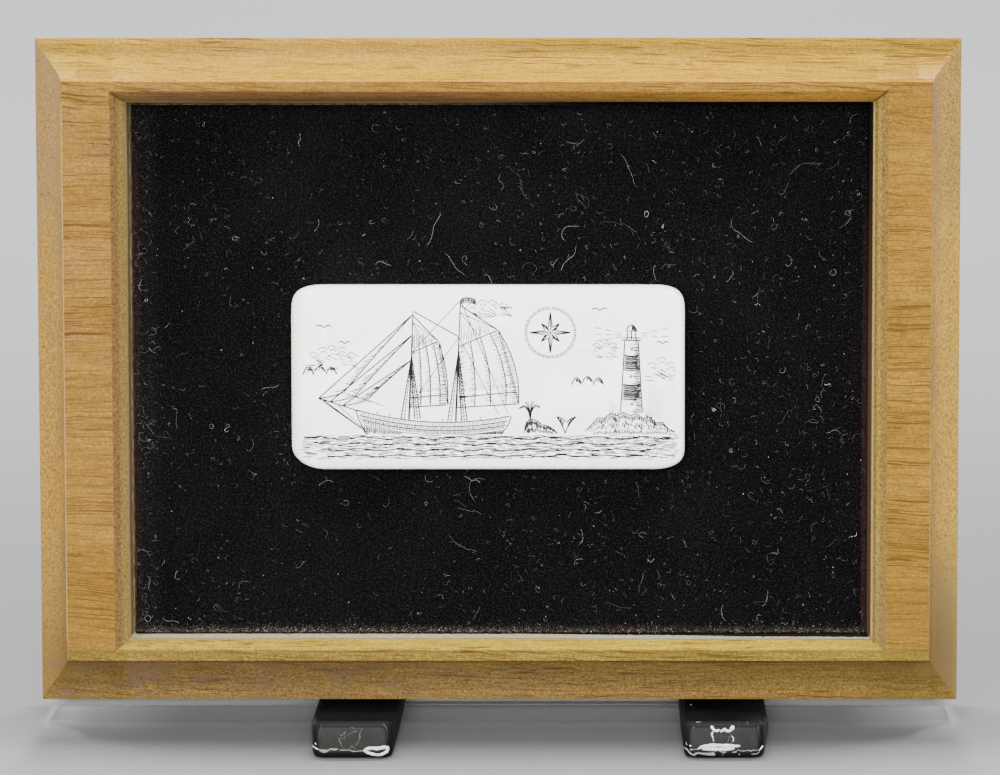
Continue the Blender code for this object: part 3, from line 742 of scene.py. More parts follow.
def curl(draw, x, z, length, bend):  # a curved fibre that lies on the pile
    steps = velvet["curlSteps"]
    heading = draw.uniform(0, 2 * math.pi)
    turn = draw.gauss(0, bend)
    points = []
    place = Vector((x, z))
    for step in range(steps):
        lift = (0.35 + 0.35 * math.sin(math.pi * step / (steps - 1)) * draw.random()) * mm
        points.append(onNap(place.x, place.y, lift))
        heading += turn + draw.gauss(0, 0.22)
        turn += draw.gauss(0, bend * 0.6)
        place = place + Vector((math.cos(heading), math.sin(heading))) * length / steps
    return points


def makeLint(draw):
    bms = [bmesh.new() for tone in velvet["lint"]]
    for count, shortest, longest, radius, bend, shares in fibres:
        made = 0
        while made < count:
            x, z = somewhere(draw, 0.97)
            if made % 7 == 0:  # hooks that stand along the left wall
                x = leftX + abs(draw.gauss(0, 2.0)) * mm
            crowd = 0.45 + 0.3 * (x > 0) + 0.5 * noise.noise(Vector((x, 0, z)) * 45)
            if onPlaque(x, z) or draw.random() > crowd:
                continue
            tone = draw.choices((0, 1, 2), shares)[0]
            points = curl(draw, x, z, draw.uniform(shortest, longest), bend)
            made += 1
            if all(onCloth(p.x, p.z) for p in points):
                addTube(bms[tone], points, radius)
    return [
        clothPiece("velvet_lint_" + tone, bm, colour, 0.7)
        for bm, (tone, colour) in zip(bms, velvet["lint"].items())
    ]


def makeDust(draw):
    bm = bmesh.new()
    for index in range(velvet["specks"]):
        x, z = somewhere(draw, 0.98)
        if draw.random() < 0.30:
            z = footZ + draw.expovariate(1.0) * 1.2 * mm
        if onPlaque(x, z) or not onCloth(x, z, 0.4 * mm):
            continue
        size = min(abs(draw.gauss(0.03, 0.028)) + 0.02, 0.11) * mm
        matrix = Matrix.Translation(onNap(x, z, 0.35 * mm + size))
        spin = Euler([draw.uniform(0, 6) for axis in range(3)]).to_matrix().to_4x4()
        stretch = Matrix.Diagonal((draw.uniform(0.7, 2.0), 1.0, draw.uniform(0.6, 1.1), 1.0))
        matrix = matrix @ spin @ stretch
        bmesh.ops.create_icosphere(bm, subdivisions=1, radius=size, matrix=matrix)
    return clothPiece("velvet_dust", bm, velvet["dust"], 0.8, 0.7)


# Engraved plaque

plaque = {
    "width": 75.7 * mm,
    "height": 35.6 * mm,
    "thickness": 4.5 * mm,
    "place": (-2.0 * mm, napY - 0.3 * mm - 4.5 * mm, 62.9 * mm),
    "edgeRound": 0.8 * mm,
    "backRound": 0.4 * mm,
    "cornerSteps": 12,
    "rimSteps": 7,
    "mainWidth": 0.23 * mm,
    "mainDepth": 0.13 * mm,
    "fineWidth": 0.15 * mm,
    "fineDepth": 0.09 * mm,
    "strokeTaper": 0.4 * mm,
    "cell": 0.5 * mm,
    "dent": 0.05 * mm,
    "dentsPerMetre": 900,
    "chippedPart": 0.42,
    "evenShare": 0.15,
    "ivory": rgba(0.95, 0.945, 0.915),
    "warm": rgba(0.88, 0.865, 0.79),
    "greenish": rgba(0.62, 0.62, 0.44),
    "ink": rgba(0.006, 0.006, 0.006),
    "fadedInk": rgba(0.022, 0.021, 0.020),
}
plaqueCorners = (  # sign u, sign v, reach u, reach v, fullness
    (1, 1, 7.6 * mm, 5.8 * mm, 3.5),
    (-1, 1, 7.2 * mm, 5.8 * mm, 3.2),
    (-1, -1, 6.5 * mm, 4.6 * mm, 2.0),
    (1, -1, 6.8 * mm, 4.2 * mm, 2.6),
)


def plaqueOutline(inset):
    points = []
    for signU, signV, reachU, reachV, fullness in plaqueCorners:
        centreU = signU * (plaque["width"] / 2 - reachU)
        centreV = signV * (plaque["height"] / 2 - reachV)
        arc = []
        for step in range(plaque["cornerSteps"] + 1):
            angle = math.pi / 2 * step / plaque["cornerSteps"]
            u = (reachU - inset) * math.cos(angle) ** (2 / fullness)
            v = (reachV - inset) * math.sin(angle) ** (2 / fullness)
            arc.append((centreU + signU * u, centreV + signV * v))
        if signU * signV < 0:
            arc.reverse()
        points += arc
    return points


def onFace(point, margin):  # whether a drawn point is clear of the rounded rim
    u, v = point
    inset = plaque["edgeRound"] + margin
    for signU, signV, reachU, reachV, fullness in plaqueCorners:
        du = signU * u - (plaque["width"] / 2 - reachU)
        dv = signV * v - (plaque["height"] / 2 - reachV)
        if signU * u < 0 or signV * v < 0:
            continue
        if du > reachU - inset or dv > reachV - inset:
            return False
        if du > 0 and dv > 0:
            return (du / (reachU - inset)) ** fullness + (dv / (reachV - inset)) ** fullness < 1
    return True


# The picture: a schooner under sail, a spouting whale and a lighthouse. Its points are complex
# numbers in millimetres, from the middle of the plaque: right is real and up is imaginary

picture = {
    "seaLevel": -11.2,
    "shipLength": 30.0,
    "shipMiddle": -10.5,
    "freeboard": 2.5,
    "foreMast": (0.66, 21.0),
    "mainMast": (0.36, 23.5),
    "rocksStart": 18.6,
    "rocksEnd": 36.0,
    "rocksHeight": 3.8,
    "towerU": 27.6,
    "towerHeight": 14.0,
    "towerFoot": 2.1,
    "towerTop": 1.3,
    "whaleU": 10.2,
    "whaleLength": 6.4,
    "star": 12.0 + 8.6j,
    "starRings": (4.55, 4.9),
    "seaReach": 36.3,
    "leastLine": 0.12 * mm,
}
drawn = {"main": [], "fine": []}
sea = picture["seaLevel"]
pen = random.Random(41)


def main(*lines):
    drawn["main"].extend(lines)


def fine(*lines):
    drawn["fine"].extend(lines)


def between(start, end, share):
    return start + (end - start) * share


def curve(start, bend, end, steps):
    shares = [step / steps for step in range(steps + 1)]
    return [between(between(start, bend, t), between(bend, end, t), t) for t in shares]


def along(line, share):  # the place at a share of a line's length
    place = max(0.0, min(1.0, share)) * (len(line) - 1)
    index = min(int(place), len(line) - 2)
    return between(line[index], line[index + 1], place - index)


def level(line, height, right=0.0):  # the line's points, all brought to one height over the sea
    return [complex(point.real + right, sea + height) for point in line]


def hatch(first, second, count, reach=(0.0, 1.0), loose=0.1, span=(0.0, 1.0), bend=0.0):
    # Strokes from one line towards another; reach is how far across each one goes
    for step in range(count):
        share = span[0] + (span[1] - span[0]) * (step + 0.5 + pen.uniform(-0.3, 0.3)) / count
        start, end = along(first, share), along(second, share)
        low = reach[0] + pen.uniform(-loose, loose) * 0.5
        high = reach[1] + pen.uniform(-loose, loose)
        low, high = max(low, 0.0), min(max(high, low + 0.05), 1.0)
        a, b = between(start, end, low), between(start, end, high)
        fine([a, between(a, b, 0.5) + bend * 1j, b] if bend else [a, b])


def deckPoint(share, lift=0.0):  # share is 0 at the stern and 1 at the bow
    u = picture["shipMiddle"] + picture["shipLength"] * (0.5 - share)
    sheer = picture["shipLength"] * 0.24 * (share - 0.42) ** 2
    return complex(u, sea + picture["freeboard"] + sheer + lift)


def deckLine(steps, inset=0.0, lift=0.0):
    return [deckPoint(inset + (1 - 2 * inset) * step / steps, lift) for step in range(steps + 1)]


def mast(share, height):  # its foot and its top
    foot = deckPoint(share)
    return foot, foot + complex(height * 0.045, height)


def gaffSail(foot, top, boom, gaff):
    tack, throat, stay, head = [between(foot, top, share) for share in (0.12, 0.62, 0.9, 0.96)]
    clew = tack + complex(boom, boom * 0.06)
    peak = throat + complex(gaff, gaff * 0.42)
    belly = complex(max(clew.real, peak.real) + boom * 0.06, (clew.imag + peak.imag) / 2)
    leech = curve(clew, belly, peak, 6)
    luff = curve(tack, between(tack, throat, 0.5), throat, 6)

    def seam(share):
        return [between(a, b, share) for a, b in zip(luff, leech)]

    main([tack, clew], [throat, peak], leech)
    main(curve(peak, between(peak, head, 0.5) + 0.2 - 0.3j, head, 3))
    seams = (0.3, 0.55, 0.8)
    main(*map(seam, seams))
    main([between(luff[1], leech[1], share) for share in (0.04, 0.96)])
    hatch(leech, luff, 34, (0.0, 0.17), 0.07)
    hatch(luff, leech, 30, (0.02, 0.12), 0.05)
    for share in seams:
        hatch(seam(share), seam(share - 0.25), 22, (0.03, 0.26), 0.09, (0.05, 0.97))
    hatch([tack, clew], [throat, peak], 13, (0.235, 0.285), 0.02, (0.04, 0.98))
    hatch([throat, peak], [head, peak], 12, (0.05, 0.5), 0.2, (0.02, 0.8))
    fine([between(throat, peak, 0.55), stay], [peak, stay])
    fine([clew, between(peak, clew, 0.02)], [clew + 0.25 - 0.1j, peak + 0.35 - 0.2j])


def jib(tack, head):
    clew = tack + 4.8 + 1.1j
    leech = curve(head, between(head, clew, 0.5) - 0.5, clew, 3)
    main([tack, head], leech, curve(clew, between(clew, tack, 0.5) - 0.4j, tack, 3))
    hatch(leech, [head, tack], 26, (0.0, 0.4), 0.2, (0.12, 0.98))
    fine([clew, clew + 3.2 - 1.2j])


def rungs(first, second, count):
    for step in range(count):
        share = 0.03 + 0.8 * step / count
        fine([between(*first, share), between(*second, share)])


def shrouds(foot, top):
    ropes = [
        [foot + reach + 0.1j, between(foot, top, share)]
        for reach, share in ((-1.5, 0.56), (1.2, 0.52), (2.3, 0.6), (-0.8, 0.54))
    ]
    main(*ropes[:3])
    rungs(ropes[1], ropes[2], 15)
    fine([between(a, b, 0.5) for a, b in zip(ropes[1], ropes[2])], ropes[3])
    rungs(ropes[0], ropes[3], 13)


def drawShip():
    stern, bow = deckPoint(0), deckPoint(1)
    sternFoot, bowFoot = level([stern], 0.1, -2.0)[0], level([bow], 0.1, 2.4)[0]
    sprit = bow - 7.2 + 2.3j
    main(deckLine(10), [stern, stern - 0.4 - 1.4j, sternFoot])
    main(curve(bow, bowFoot - 1.3 + 1.2j, bowFoot, 5))
    main([deckPoint(0.97, -0.1), sprit], [bowFoot - 1.2 + 1.2j, sprit + 0.6 - 0.1j])
    main(deckLine(10, 0.02, -0.85), deckLine(10, 0.03, -1.6))

    # Hull: rows of short strokes under the rail, and planks at the waterline
    for top, bottom, count, inset in (
        (-0.12, -0.72, 62, 0.03),
        (-0.95, -1.5, 96, 0.035),
        (-1.7, -2.25, 118, 0.045),
    ):
        lower = [point - 0.12 for point in deckLine(20, inset, bottom)]
        hatch(deckLine(20, inset, top), lower, count, (0.0, 0.95), 0.2)
    plank = [complex(p.real, max(p.imag, sea + 0.25)) for p in deckLine(20, 0.05, -2.45)]
    fine(plank)
    hatch(plank, level(plank, 0.1), 60, (0.0, 0.9), 0.2, (0.0, 0.3))
    hatch(plank, level(plank, 0.1), 40, (0.0, 0.9), 0.2, (0.72, 1.0))

    foreMast, mainMast = mast(*picture["foreMast"]), mast(*picture["mainMast"])
    for foot, top in (foreMast, mainMast):
        main([foot, top])
        fine([foot + 0.22, between(foot + 0.22, top, 0.8)])
        shrouds(foot, top)
    gaffSail(*foreMast, 7.4, 5.2)
    gaffSail(*mainMast, 12.0, 7.6)
    top, hounds = mainMast[1], between(*mainMast, 0.7)
    main([foreMast[1], hounds])
    for tackShare, headShare in ((0.35, 0.55), (0.68, 0.78), (0.98, 0.97)):
        jib(between(bow, sprit, tackShare), between(*foreMast, headShare))

    # Running rigging, rail and flag
    fine([top, between(*foreMast, 0.62)], [hounds, between(*foreMast, 0.12)])
    fine([top, stern - 0.6 + 0.2j], [hounds, stern - 2.4 + 0.1j])
    fine([sprit, bowFoot - 0.3 + 0.5j], [between(bow, sprit, 0.5), bowFoot - 0.6 + 0.9j])
    for share in (0.2, 0.32, 0.44, 0.78, 0.86):
        rail = deckPoint(share)
        fine([rail, rail + 0.6j], [rail - 0.25 + 0.6j, rail + 0.25 + 0.6j])
    flag = curve(top + 0.1j, top + 1.4 + 0.9j, top + 3.0, 5)
    hem = [point - 0.9j for point in flag]
    main(flag)
    fine(hem)
    hatch(flag, hem, 20, (0.0, 0.9), 0.1)


def drawTower():
    footHalf, topHalf, height = [picture[key] for key in ("towerFoot", "towerTop", "towerHeight")]
    foot = complex(picture["towerU"], sea + picture["rocksHeight"] + 0.5)
    top = foot + height * 1j
    sides = [[foot + side * footHalf, top + side * topHalf] for side in (-1, 1)]
    main(*sides)
    for band in range(1, 5):
        half = footHalf + (topHalf - footHalf) * band / 5
        middle = foot + height * band / 5 * 1j
        main(curve(middle - half, middle - 0.5j, middle + half, 3))
    gallery, eave = topHalf + 0.6, top + 1.8j
    main([top - gallery, top + gallery])
    main(*[[top + side, eave + side] for side in (-0.8, 0.0, 0.8)])
    roof = [eave - 1.1, eave + 1.1]
    dome = curve(roof[0], eave + 2.4j, roof[1], 6)
    main(roof, dome)

    # Two dark bands, a shaded side, a railing, courses of stone and beams from the lamp
    for span in ((0.21, 0.4), (0.61, 0.8)):
        hatch(*sides, 17, (0.03, 0.97), 0.03, span, -0.25)
    hatch(*sides[::-1], 60, (0.0, 0.36), 0.12, (0.0, 1.0), -0.05)
    for step in range(9):
        post = top + (step / 4 - 1) * gallery
        fine([post, post + 0.55j])
    fine([top - gallery + 0.55j, top + gallery + 0.55j])
    hatch(dome, roof, 12, (0.0, 0.9), 0.1, (0.5, 0.98))
    for share, side in ((0.12, 0.1), (0.5, -0.1), (0.88, 0.05)):
        for offset in (-0.18, 0.0, 0.18):
            middle = foot + side + height * share * 1j + offset
            fine([middle - 0.35j, middle + 0.35j])
    for side, rise in ((-1, 0.35), (-1, 0.05), (-1, -0.25), (1, 0.3), (1, -0.05)):
        start = top + side * 1.9 + (0.95 + rise) * 1j
        for piece in range(3):
            near = start + complex(side * 1.9, rise * 1.3) * piece
            fine([near, near + complex(side * 1.25, rise * 0.9)])


def drawRocks():
    steps, left, right = 14, picture["rocksStart"], picture["rocksEnd"]
    skyline = []
    for step in range(steps + 1):
        share = step / steps
        swell = picture["rocksHeight"] * math.sin(math.pi * share ** 0.8) ** 0.7
        jag = 0.32 * (-1) ** step
        skyline.append(complex(left + (right - left) * share, sea + 0.35 + swell + jag))
    main(skyline)
    for step in range(6):
        top = complex(left + 2.6 + 2.5 * step, sea + 2.7 - 0.7 * (step % 2))
        main([top, top + 0.9 - 0.7j, top + 0.6 - 1.6j])
    water = level(skyline, 0.1, 0.9)
    hatch(skyline, water, 92, (0.03, 0.32), 0.14, (0.03, 0.98))
    hatch(skyline, water, 70, (0.42, 0.62), 0.14, (0.05, 0.95))
    hatch(water, skyline, 80, (0.02, 0.22), 0.1, (0.04, 0.97))
    for blade in range(26):
        start = along(skyline, 0.28 + 0.5 * pen.random())
        if abs(start.real - picture["towerU"]) >= picture["towerFoot"] + 0.3:
            fine([start, start + complex(pen.uniform(-0.25, 0.25), pen.uniform(0.4, 0.9))])


def drawWhale():
    middle, half = complex(picture["whaleU"], sea), picture["whaleLength"] / 2
    snout, tail, saddle = middle - half + 0.3j, middle + half + 0.3j, middle + 0.3 + 2.0j
    brow = curve(snout, snout + 0.1 + 4.6j, saddle, 6)
    back = curve(saddle, tail - 1.2 + 1.6j, tail, 4)
    main(brow, back)
    blowhole = snout + 1.1 + 2.6j
    for side, reach in ((-1, 2.3), (-1, 1.1), (1, 0.9), (1, 2.0)):
        end = blowhole + complex(side * reach, 4.5 - reach)
        main(curve(blowhole, blowhole + side * 0.3 + 4.0j, end, 4))
    stock = tail + 1.4
    notch = stock + 0.3 + 2.2j
    for side in (-1, 1):
        tip = notch + side * 1.9 + 1.1j
        outer = curve(stock, stock + side * 0.5 + 1.9j, tip, 4)
        inner = curve(tip, notch + side * 0.8 + 0.9j, notch, 3)
        main(outer, inner)
        hatch(outer, inner[::-1], 9, (0.05, 0.8), 0.15, (0.3, 0.95))
    whole = brow + back[1:]
    hatch(whole, level(whole, 0.15), 64, (0.05, 0.5), 0.2, (0.08, 0.96))
    hatch(whole, level(whole, 0.15), 36, (0.55, 0.85), 0.12, (0.2, 0.9))
    for reach in (-1.9, -1.3, -0.4, 0.3, 1.2, 1.7):
        end = blowhole + complex(reach * 1.1, 4.1 - abs(reach))
        fine(curve(blowhole + 0.3j, blowhole + reach * 0.25 + 3.4j, end, 4))


def fromStar(radius, turn):  # a place round the middle of the compass star
    angle = 2 * math.pi * turn
    return picture["star"] + radius * complex(math.sin(angle), math.cos(angle))


def drawStar():
    reaches = (4.0, 1.05, 2.5, 1.05) * 4
    tips = [fromStar(reach, step / 16) for step, reach in enumerate(reaches)]
    main(*zip(tips, tips[1:] + tips[:1]))
    for tip, waist in zip(tips[::2], tips[1::2]):
        fine([picture["star"], tip])
        for step in range(1, 8):
            share = 0.12 * step
            fine([between(picture["star"], tip, share), between(waist, tip, share * 0.75)])
    rings = picture["starRings"]
    fine(*[[fromStar(radius, step / 40) for step in range(41)] for radius in rings])
    for step in range(32):
        fine([fromStar(radius, (step + 0.5) / 32) for radius in rings])


def drawClouds():
    for left, foot, size in ((-35.6, 0.4, 2.2), (16.0, -1.6, 2.1)):
        for puff in range(3):
            odd = puff % 2
            start = complex(left + puff * size, foot + 0.5 * odd)
            bend = start + complex(size / 2, size * (1.5 - 0.3 * odd))
            top = curve(start, bend, start + size, 5)
            main(top)
            hatch(top, [start, start + size], 10, (0.06, 0.5), 0.2, (0.4, 0.98))

    # Long loose clouds: broken curls above, slanted strokes below, a few level ones at the foot
    for left, base, length, height in (
        (-34.5, 3.4, 9.0, 2.6),
        (20.0, 5.2, 4.6, 1.8),
        (30.6, 1.2, 5.4, 2.4),
        (-4.0, 13.2, 8.0, 1.4),
    ):
        curls = max(3, int(length / 1.8))
        for step in range(curls):
            lift = height * math.sin(math.pi * (step + 0.5) / curls)
            start = complex(left + length * step / curls, base + lift * 0.8)
            end = start + complex(1.9, pen.uniform(-0.3, 0.3))
            fine(curve(start, start + 0.9 + 1.3j, end, 4))
            fine(curve(start + 0.5 - 0.5j, start + 1.1 + 0.3j, start + 1.8 - 0.5j, 3))
        for step in range(int(length * 3.2)):
            right = pen.uniform(0.3, length)
            start = complex(left + right, base + pen.uniform(-1.2, height * 0.55))
            reach = pen.uniform(0.5, 1.3)
            fine([start, start + complex(reach, -reach * 0.55)])
        for step in range(int(length * 0.8)):
            right = pen.uniform(0, length)
            start = complex(left - 0.8 + right, base - 1.4 + pen.uniform(-0.5, 0.4))
            fine([start, start + complex(pen.uniform(1.0, 2.2), pen.uniform(-0.05, 0.05))])


def drawSea():
    for row in range(4):
        reach, crest = 35.0 - 1.3 * row, 0.32 - 0.04 * row
        line = []
        for step in range(27):
            wave = crest * math.sin(step * 1.9 + row * 1.1)
            line.append(complex(reach * (step / 13 - 1), sea - 0.5 - 1.15 * row + wave))
        main(line)
    for row in range(17):
        u = -picture["seaReach"] + pen.uniform(0, 1.5)
        while u < picture["seaReach"]:
            length = pen.uniform(1.0, 3.4)
            lift = pen.uniform(0.08, 0.2) * pen.choice((-1, 1, 1))
            start = complex(u, sea - 0.18 - 0.265 * row + 0.1 * math.sin(u * 0.9 + row))
            fine(curve(start, start + complex(length / 2, lift), start + length, 3))
            u += length + pen.uniform(0.15, 0.7 + 0.09 * row)


def drawGulls():
    for body, span in (
        (-31.5 + 9.5j, 1.5),
        (-27.5 + 6.4j, 1.1),
        (3.4 + 13.0j, 1.2),
        (21.5 + 12.8j, 1.5),
        (33.6 + 6.4j, 1.2),
    ):
        for side in (-1, 1):
            bend = body + side * span * 0.55 + 0.9j
            main(curve(body, bend, body + side * span + 0.25j, 3))


def lineLength(line):
    return sum((Vector(b) - Vector(a)).length for a, b in zip(line, line[1:]))


def drawPicture():  # the lines in metres, without what would run over the rounded rim
    for subject in (
        drawShip,
        drawTower,
        drawRocks,
        drawWhale,
        drawStar,
        drawClouds,
        drawSea,
        drawGulls,
    ):
        subject()
    kept = []
    for kind, lines in drawn.items():
        for line in lines:
            part = []
            for point in [*line, None]:  # None ends the last part
                spot = None if point is None else (point.real * mm, point.imag * mm)
                if spot and onFace(spot, plaque[kind + "Width"]):
                    part.append(spot)
                    continue
                if len(part) > 1 and lineLength(part) > picture["leastLine"]:
                    kept.append((kind, part))
                part = []
    return kept


def thinned(kind, line):  # without points too close together for the stroke's width
    points = [Vector(line[0])]
    for point in line[1:-1]:
        if (Vector(point) - points[-1]).length > plaque[kind + "Width"] * 1.1:
            points.append(Vector(point))
    end = Vector(line[-1])
    if len(points) > 1 and (end - points[-1]).length < plaque[kind + "Width"] * 0.6:
        points.pop()
    points.append(end)
    for near, far, place in ((0, 1, 1), (-1, -2, -1)):  # full width close to both ends
        way = points[far] - points[near]
        taper = min(plaque["strokeTaper"], way.length * 0.3)
        points.insert(place, points[near] + way.normalized() * taper)
    return points


def strokeRails(kind, points):  # left edge and right edge of one cut line
    half = plaque[kind + "Width"] / 2
    last = len(points) - 1
    left, right = [], []
    for index, point in enumerate(points):
        way = (points[min(index + 1, last)] - points[max(index - 1, 0)]).normalized()
        share = 0.35 if index in (0, last) else 1.0
        side = Vector((-way.y, way.x)) * half * share
        left.append(point + side)
        right.append(point - side)
    return left, right


def inQuad(point, quad):
    for a, b in zip(quad, quad[1:] + quad[:1]):
        if (b.x - a.x) * (point.y - a.y) - (b.y - a.y) * (point.x - a.x) < 0:
            return False
    return True


def cutFace(outline, strokes):
    # One flat face cut along every stroke; what lies inside a stroke sinks to a groove
    scale = 1 / mm
    verts = [Vector(point) * scale for point in outline]
    faces = [list(range(len(verts)))]
    cell = plaque["cell"]
    cells = {}
    for kind, line in strokes:
        points = thinned(kind, line)
        left, right = strokeRails(kind, points)
        base, count = len(verts), len(points)
        verts += [point * scale for point in left + points + right]
        for step in range(count - 1):
            a, b, c = base + step, base + count + step, base + 2 * count + step
            faces.append([b, b + 1, a + 1, a])
            faces.append([c, c + 1, b + 1, b])
            quad = [right[step], right[step + 1], left[step + 1], left[step]]
            entry = (kind, quad, points[step], points[step + 1])
            spans = [
                range(math.floor(min(values) / cell), math.floor(max(values) / cell) + 1)
                for values in zip(*quad)
            ]
            for key in product(*spans):
                cells.setdefault(key, []).append(entry)
    found = delaunay_2d_cdt(verts, [], faces, 1, 1e-6)
    points = [point / scale for point in found[0]]
    triangles = []
    seen = set()
    for triangle in found[2]:
        key = tuple(sorted(triangle))
        if key not in seen:
            seen.add(key)
            triangles.append(triangle)

    def near(point):
        return cells.get((math.floor(point.x / cell), math.floor(point.y / cell)), [])

    inks = []
    plain = set()
    for triangle in triangles:
        middle = (points[triangle[0]] + points[triangle[1]] + points[triangle[2]]) / 3
        kinds = {kind for kind, quad, a, b in near(middle) if inQuad(middle, quad)}
        inks.append(1 if "main" in kinds else 2 if kinds else 0)
        if not kinds:
            plain.update(triangle)
    depth = [0.0] * len(points)
    for index, point in enumerate(points):
        if index in plain:
            continue
        for kind, quad, a, b in near(point):
            way = b - a
            share = max(0.0, min(1.0, (point - a).dot(way) / max(way.length_squared, 1e-18)))
            gap = (point - a - way * share).length / (plaque[kind + "Width"] / 2)
            depth[index] = max(depth[index], plaque[kind + "Depth"] * (1 - min(gap, 1.0)))
    return points, triangles, inks, depth


def ivoryMaterial():
    fixed = {"Specular IOR Level": 0.8, "Coat Roughness": 0.2}
    material, start, shader = newMaterial("polished ivory", fixed)
    place = boardPlace(start)
    x, y, z = place.parts()
    cloud = place.grain((0.10, 0.10, 0.22), 3.0, 0.55)
    lines = place.grain((0.05, 3.5, 2.6))
    warm = (cloud * 0.8 + lines * 0.25).rise(0.5, 0.85) * 0.35
    colour = start.mix(warm, plaque["ivory"], plaque["warm"])
    left = x.rise(-36.6, -39.6)
    stripe = place.grain((0.2, 3.0, 2.4), 3.0, 0.65).rise(0.35, 0.62)
    colour = colour.over(left * (0.35 + 0.5 * stripe), plaque["greenish"])
    colour = colour.over(z.rise(46.9, 45.4) * 0.3, plaque["warm"])
    feed(colour, shader, "Base Color")
    feed(0.22 + 0.12 * cloud + left * 0.2, shader, "Roughness")
    feed(0.8 - left * 0.6, shader, "Coat Weight")
    feed(bump(lines * 0.3 + left * stripe, 0.2, 0.00006), shader, "Normal")
    return material


def inkMaterial(name, colour):
    material, start, shader = newMaterial(name, {"Specular IOR Level": 0.1})
    grit = boardPlace(start).grain(4.0, 2.0, 0.6).rise(0.35, 0.7)
    paler = rgba(*(part * 2.0 for part in colour[:3]))
    feed(start.mix(grit, colour, paler), shader, "Base Color")
    feed(0.55 + 0.2 * grit, shader, "Roughness")
    return material


def addRim(bm, rim):  # rounds the face's edge over, goes down the side and closes the back
    levels = []
    for step in range(1, plaque["rimSteps"] + 1):
        angle = math.pi / 2 * step / plaque["rimSteps"]
        sink = plaque["edgeRound"] * (1 - math.cos(angle))
        levels.append((sink, plaque["edgeRound"] * (1 - math.sin(angle))))
    levels.append((plaque["thickness"] - plaque["backRound"], 0.0))
    levels.append((plaque["thickness"], plaque["backRound"]))
    rings = [rim]
    for sink, inset in levels:
        ring = []
        for u, v in plaqueOutline(inset):
            spot = Vector((u, sink, v)) * plaque["dentsPerMetre"]
            chipped = u < -plaque["width"] * plaque["chippedPart"]
            dent = plaque["dent"] * noise.noise(spot) * (1.0 if chipped else plaque["evenShare"])
            ring.append(bm.verts.new((u * (1 - abs(dent) / (0.4 * plaque["width"])), sink, v)))
        rings.append(ring)
    for first, second in zip(rings, rings[1:]):
        for k in range(len(first)):
            m = (k + 1) % len(first)
            if first[k] is not first[m]:
                bm.faces.new((first[k], first[m], second[m], second[k]))
    bm.faces.new(rings[-1])


def makePlaque():
    strokes = drawPicture()
    outline = plaqueOutline(plaque["edgeRound"])
    points, triangles, inks, depth = cutFace(outline, strokes)
    bm = bmesh.new()
    face = [bm.verts.new((point.x, sink, point.y)) for point, sink in zip(points, depth)]
    for triangle, ink in zip(triangles, inks):
        made = bm.faces.new([face[index] for index in triangle])
        made.material_index = ink
    rim = []
    for point in outline:
        index = min(range(len(points)), key=lambda k: (points[k] - Vector(point)).length)
        rim.append(face[index])
    addRim(bm, rim)
    bmesh.ops.recalc_face_normals(bm, faces=bm.faces)
    item = meshPiece("scrimshaw_face", bm)
    settle(item, leaning @ Matrix.Translation(plaque["place"]))
    smooth(item, 35)
    materials = [
        ivoryMaterial(),
        inkMaterial("black ink in the cuts", plaque["ink"]),
        inkMaterial("faded ink in fine cuts", plaque["fadedInk"]),
    ]
    indices = [polygon.material_index for polygon in item.data.polygons]
    finishPiece(item, materials, "polished_ivory", "scrimshaw_plaque")
    item.data.polygons.foreach_set("material_index", indices)
    print("picture cut:", len(strokes), "strokes")


makePlaque()
draw = random.Random(7)
cloth = makeVelvet()
loose = [makePile(draw), *makeFuzz(draw), *makeLint(draw), makeDust(draw)]
halfX * 2
halfZ * 2


# Display stand

stand = {
    "black": rgba(0.0047, 0.0050, 0.0052),
    "face": rgba(0.0246, 0.0256, 0.0236),
    "flank": rgba(0.021, 0.021, 0.021),
    "tipY": -34.68 * mm,
    "lumpStep": 0.11,
    "lumpCell": 0.05 * mm,
    "lumpLeast": 0.062,
}
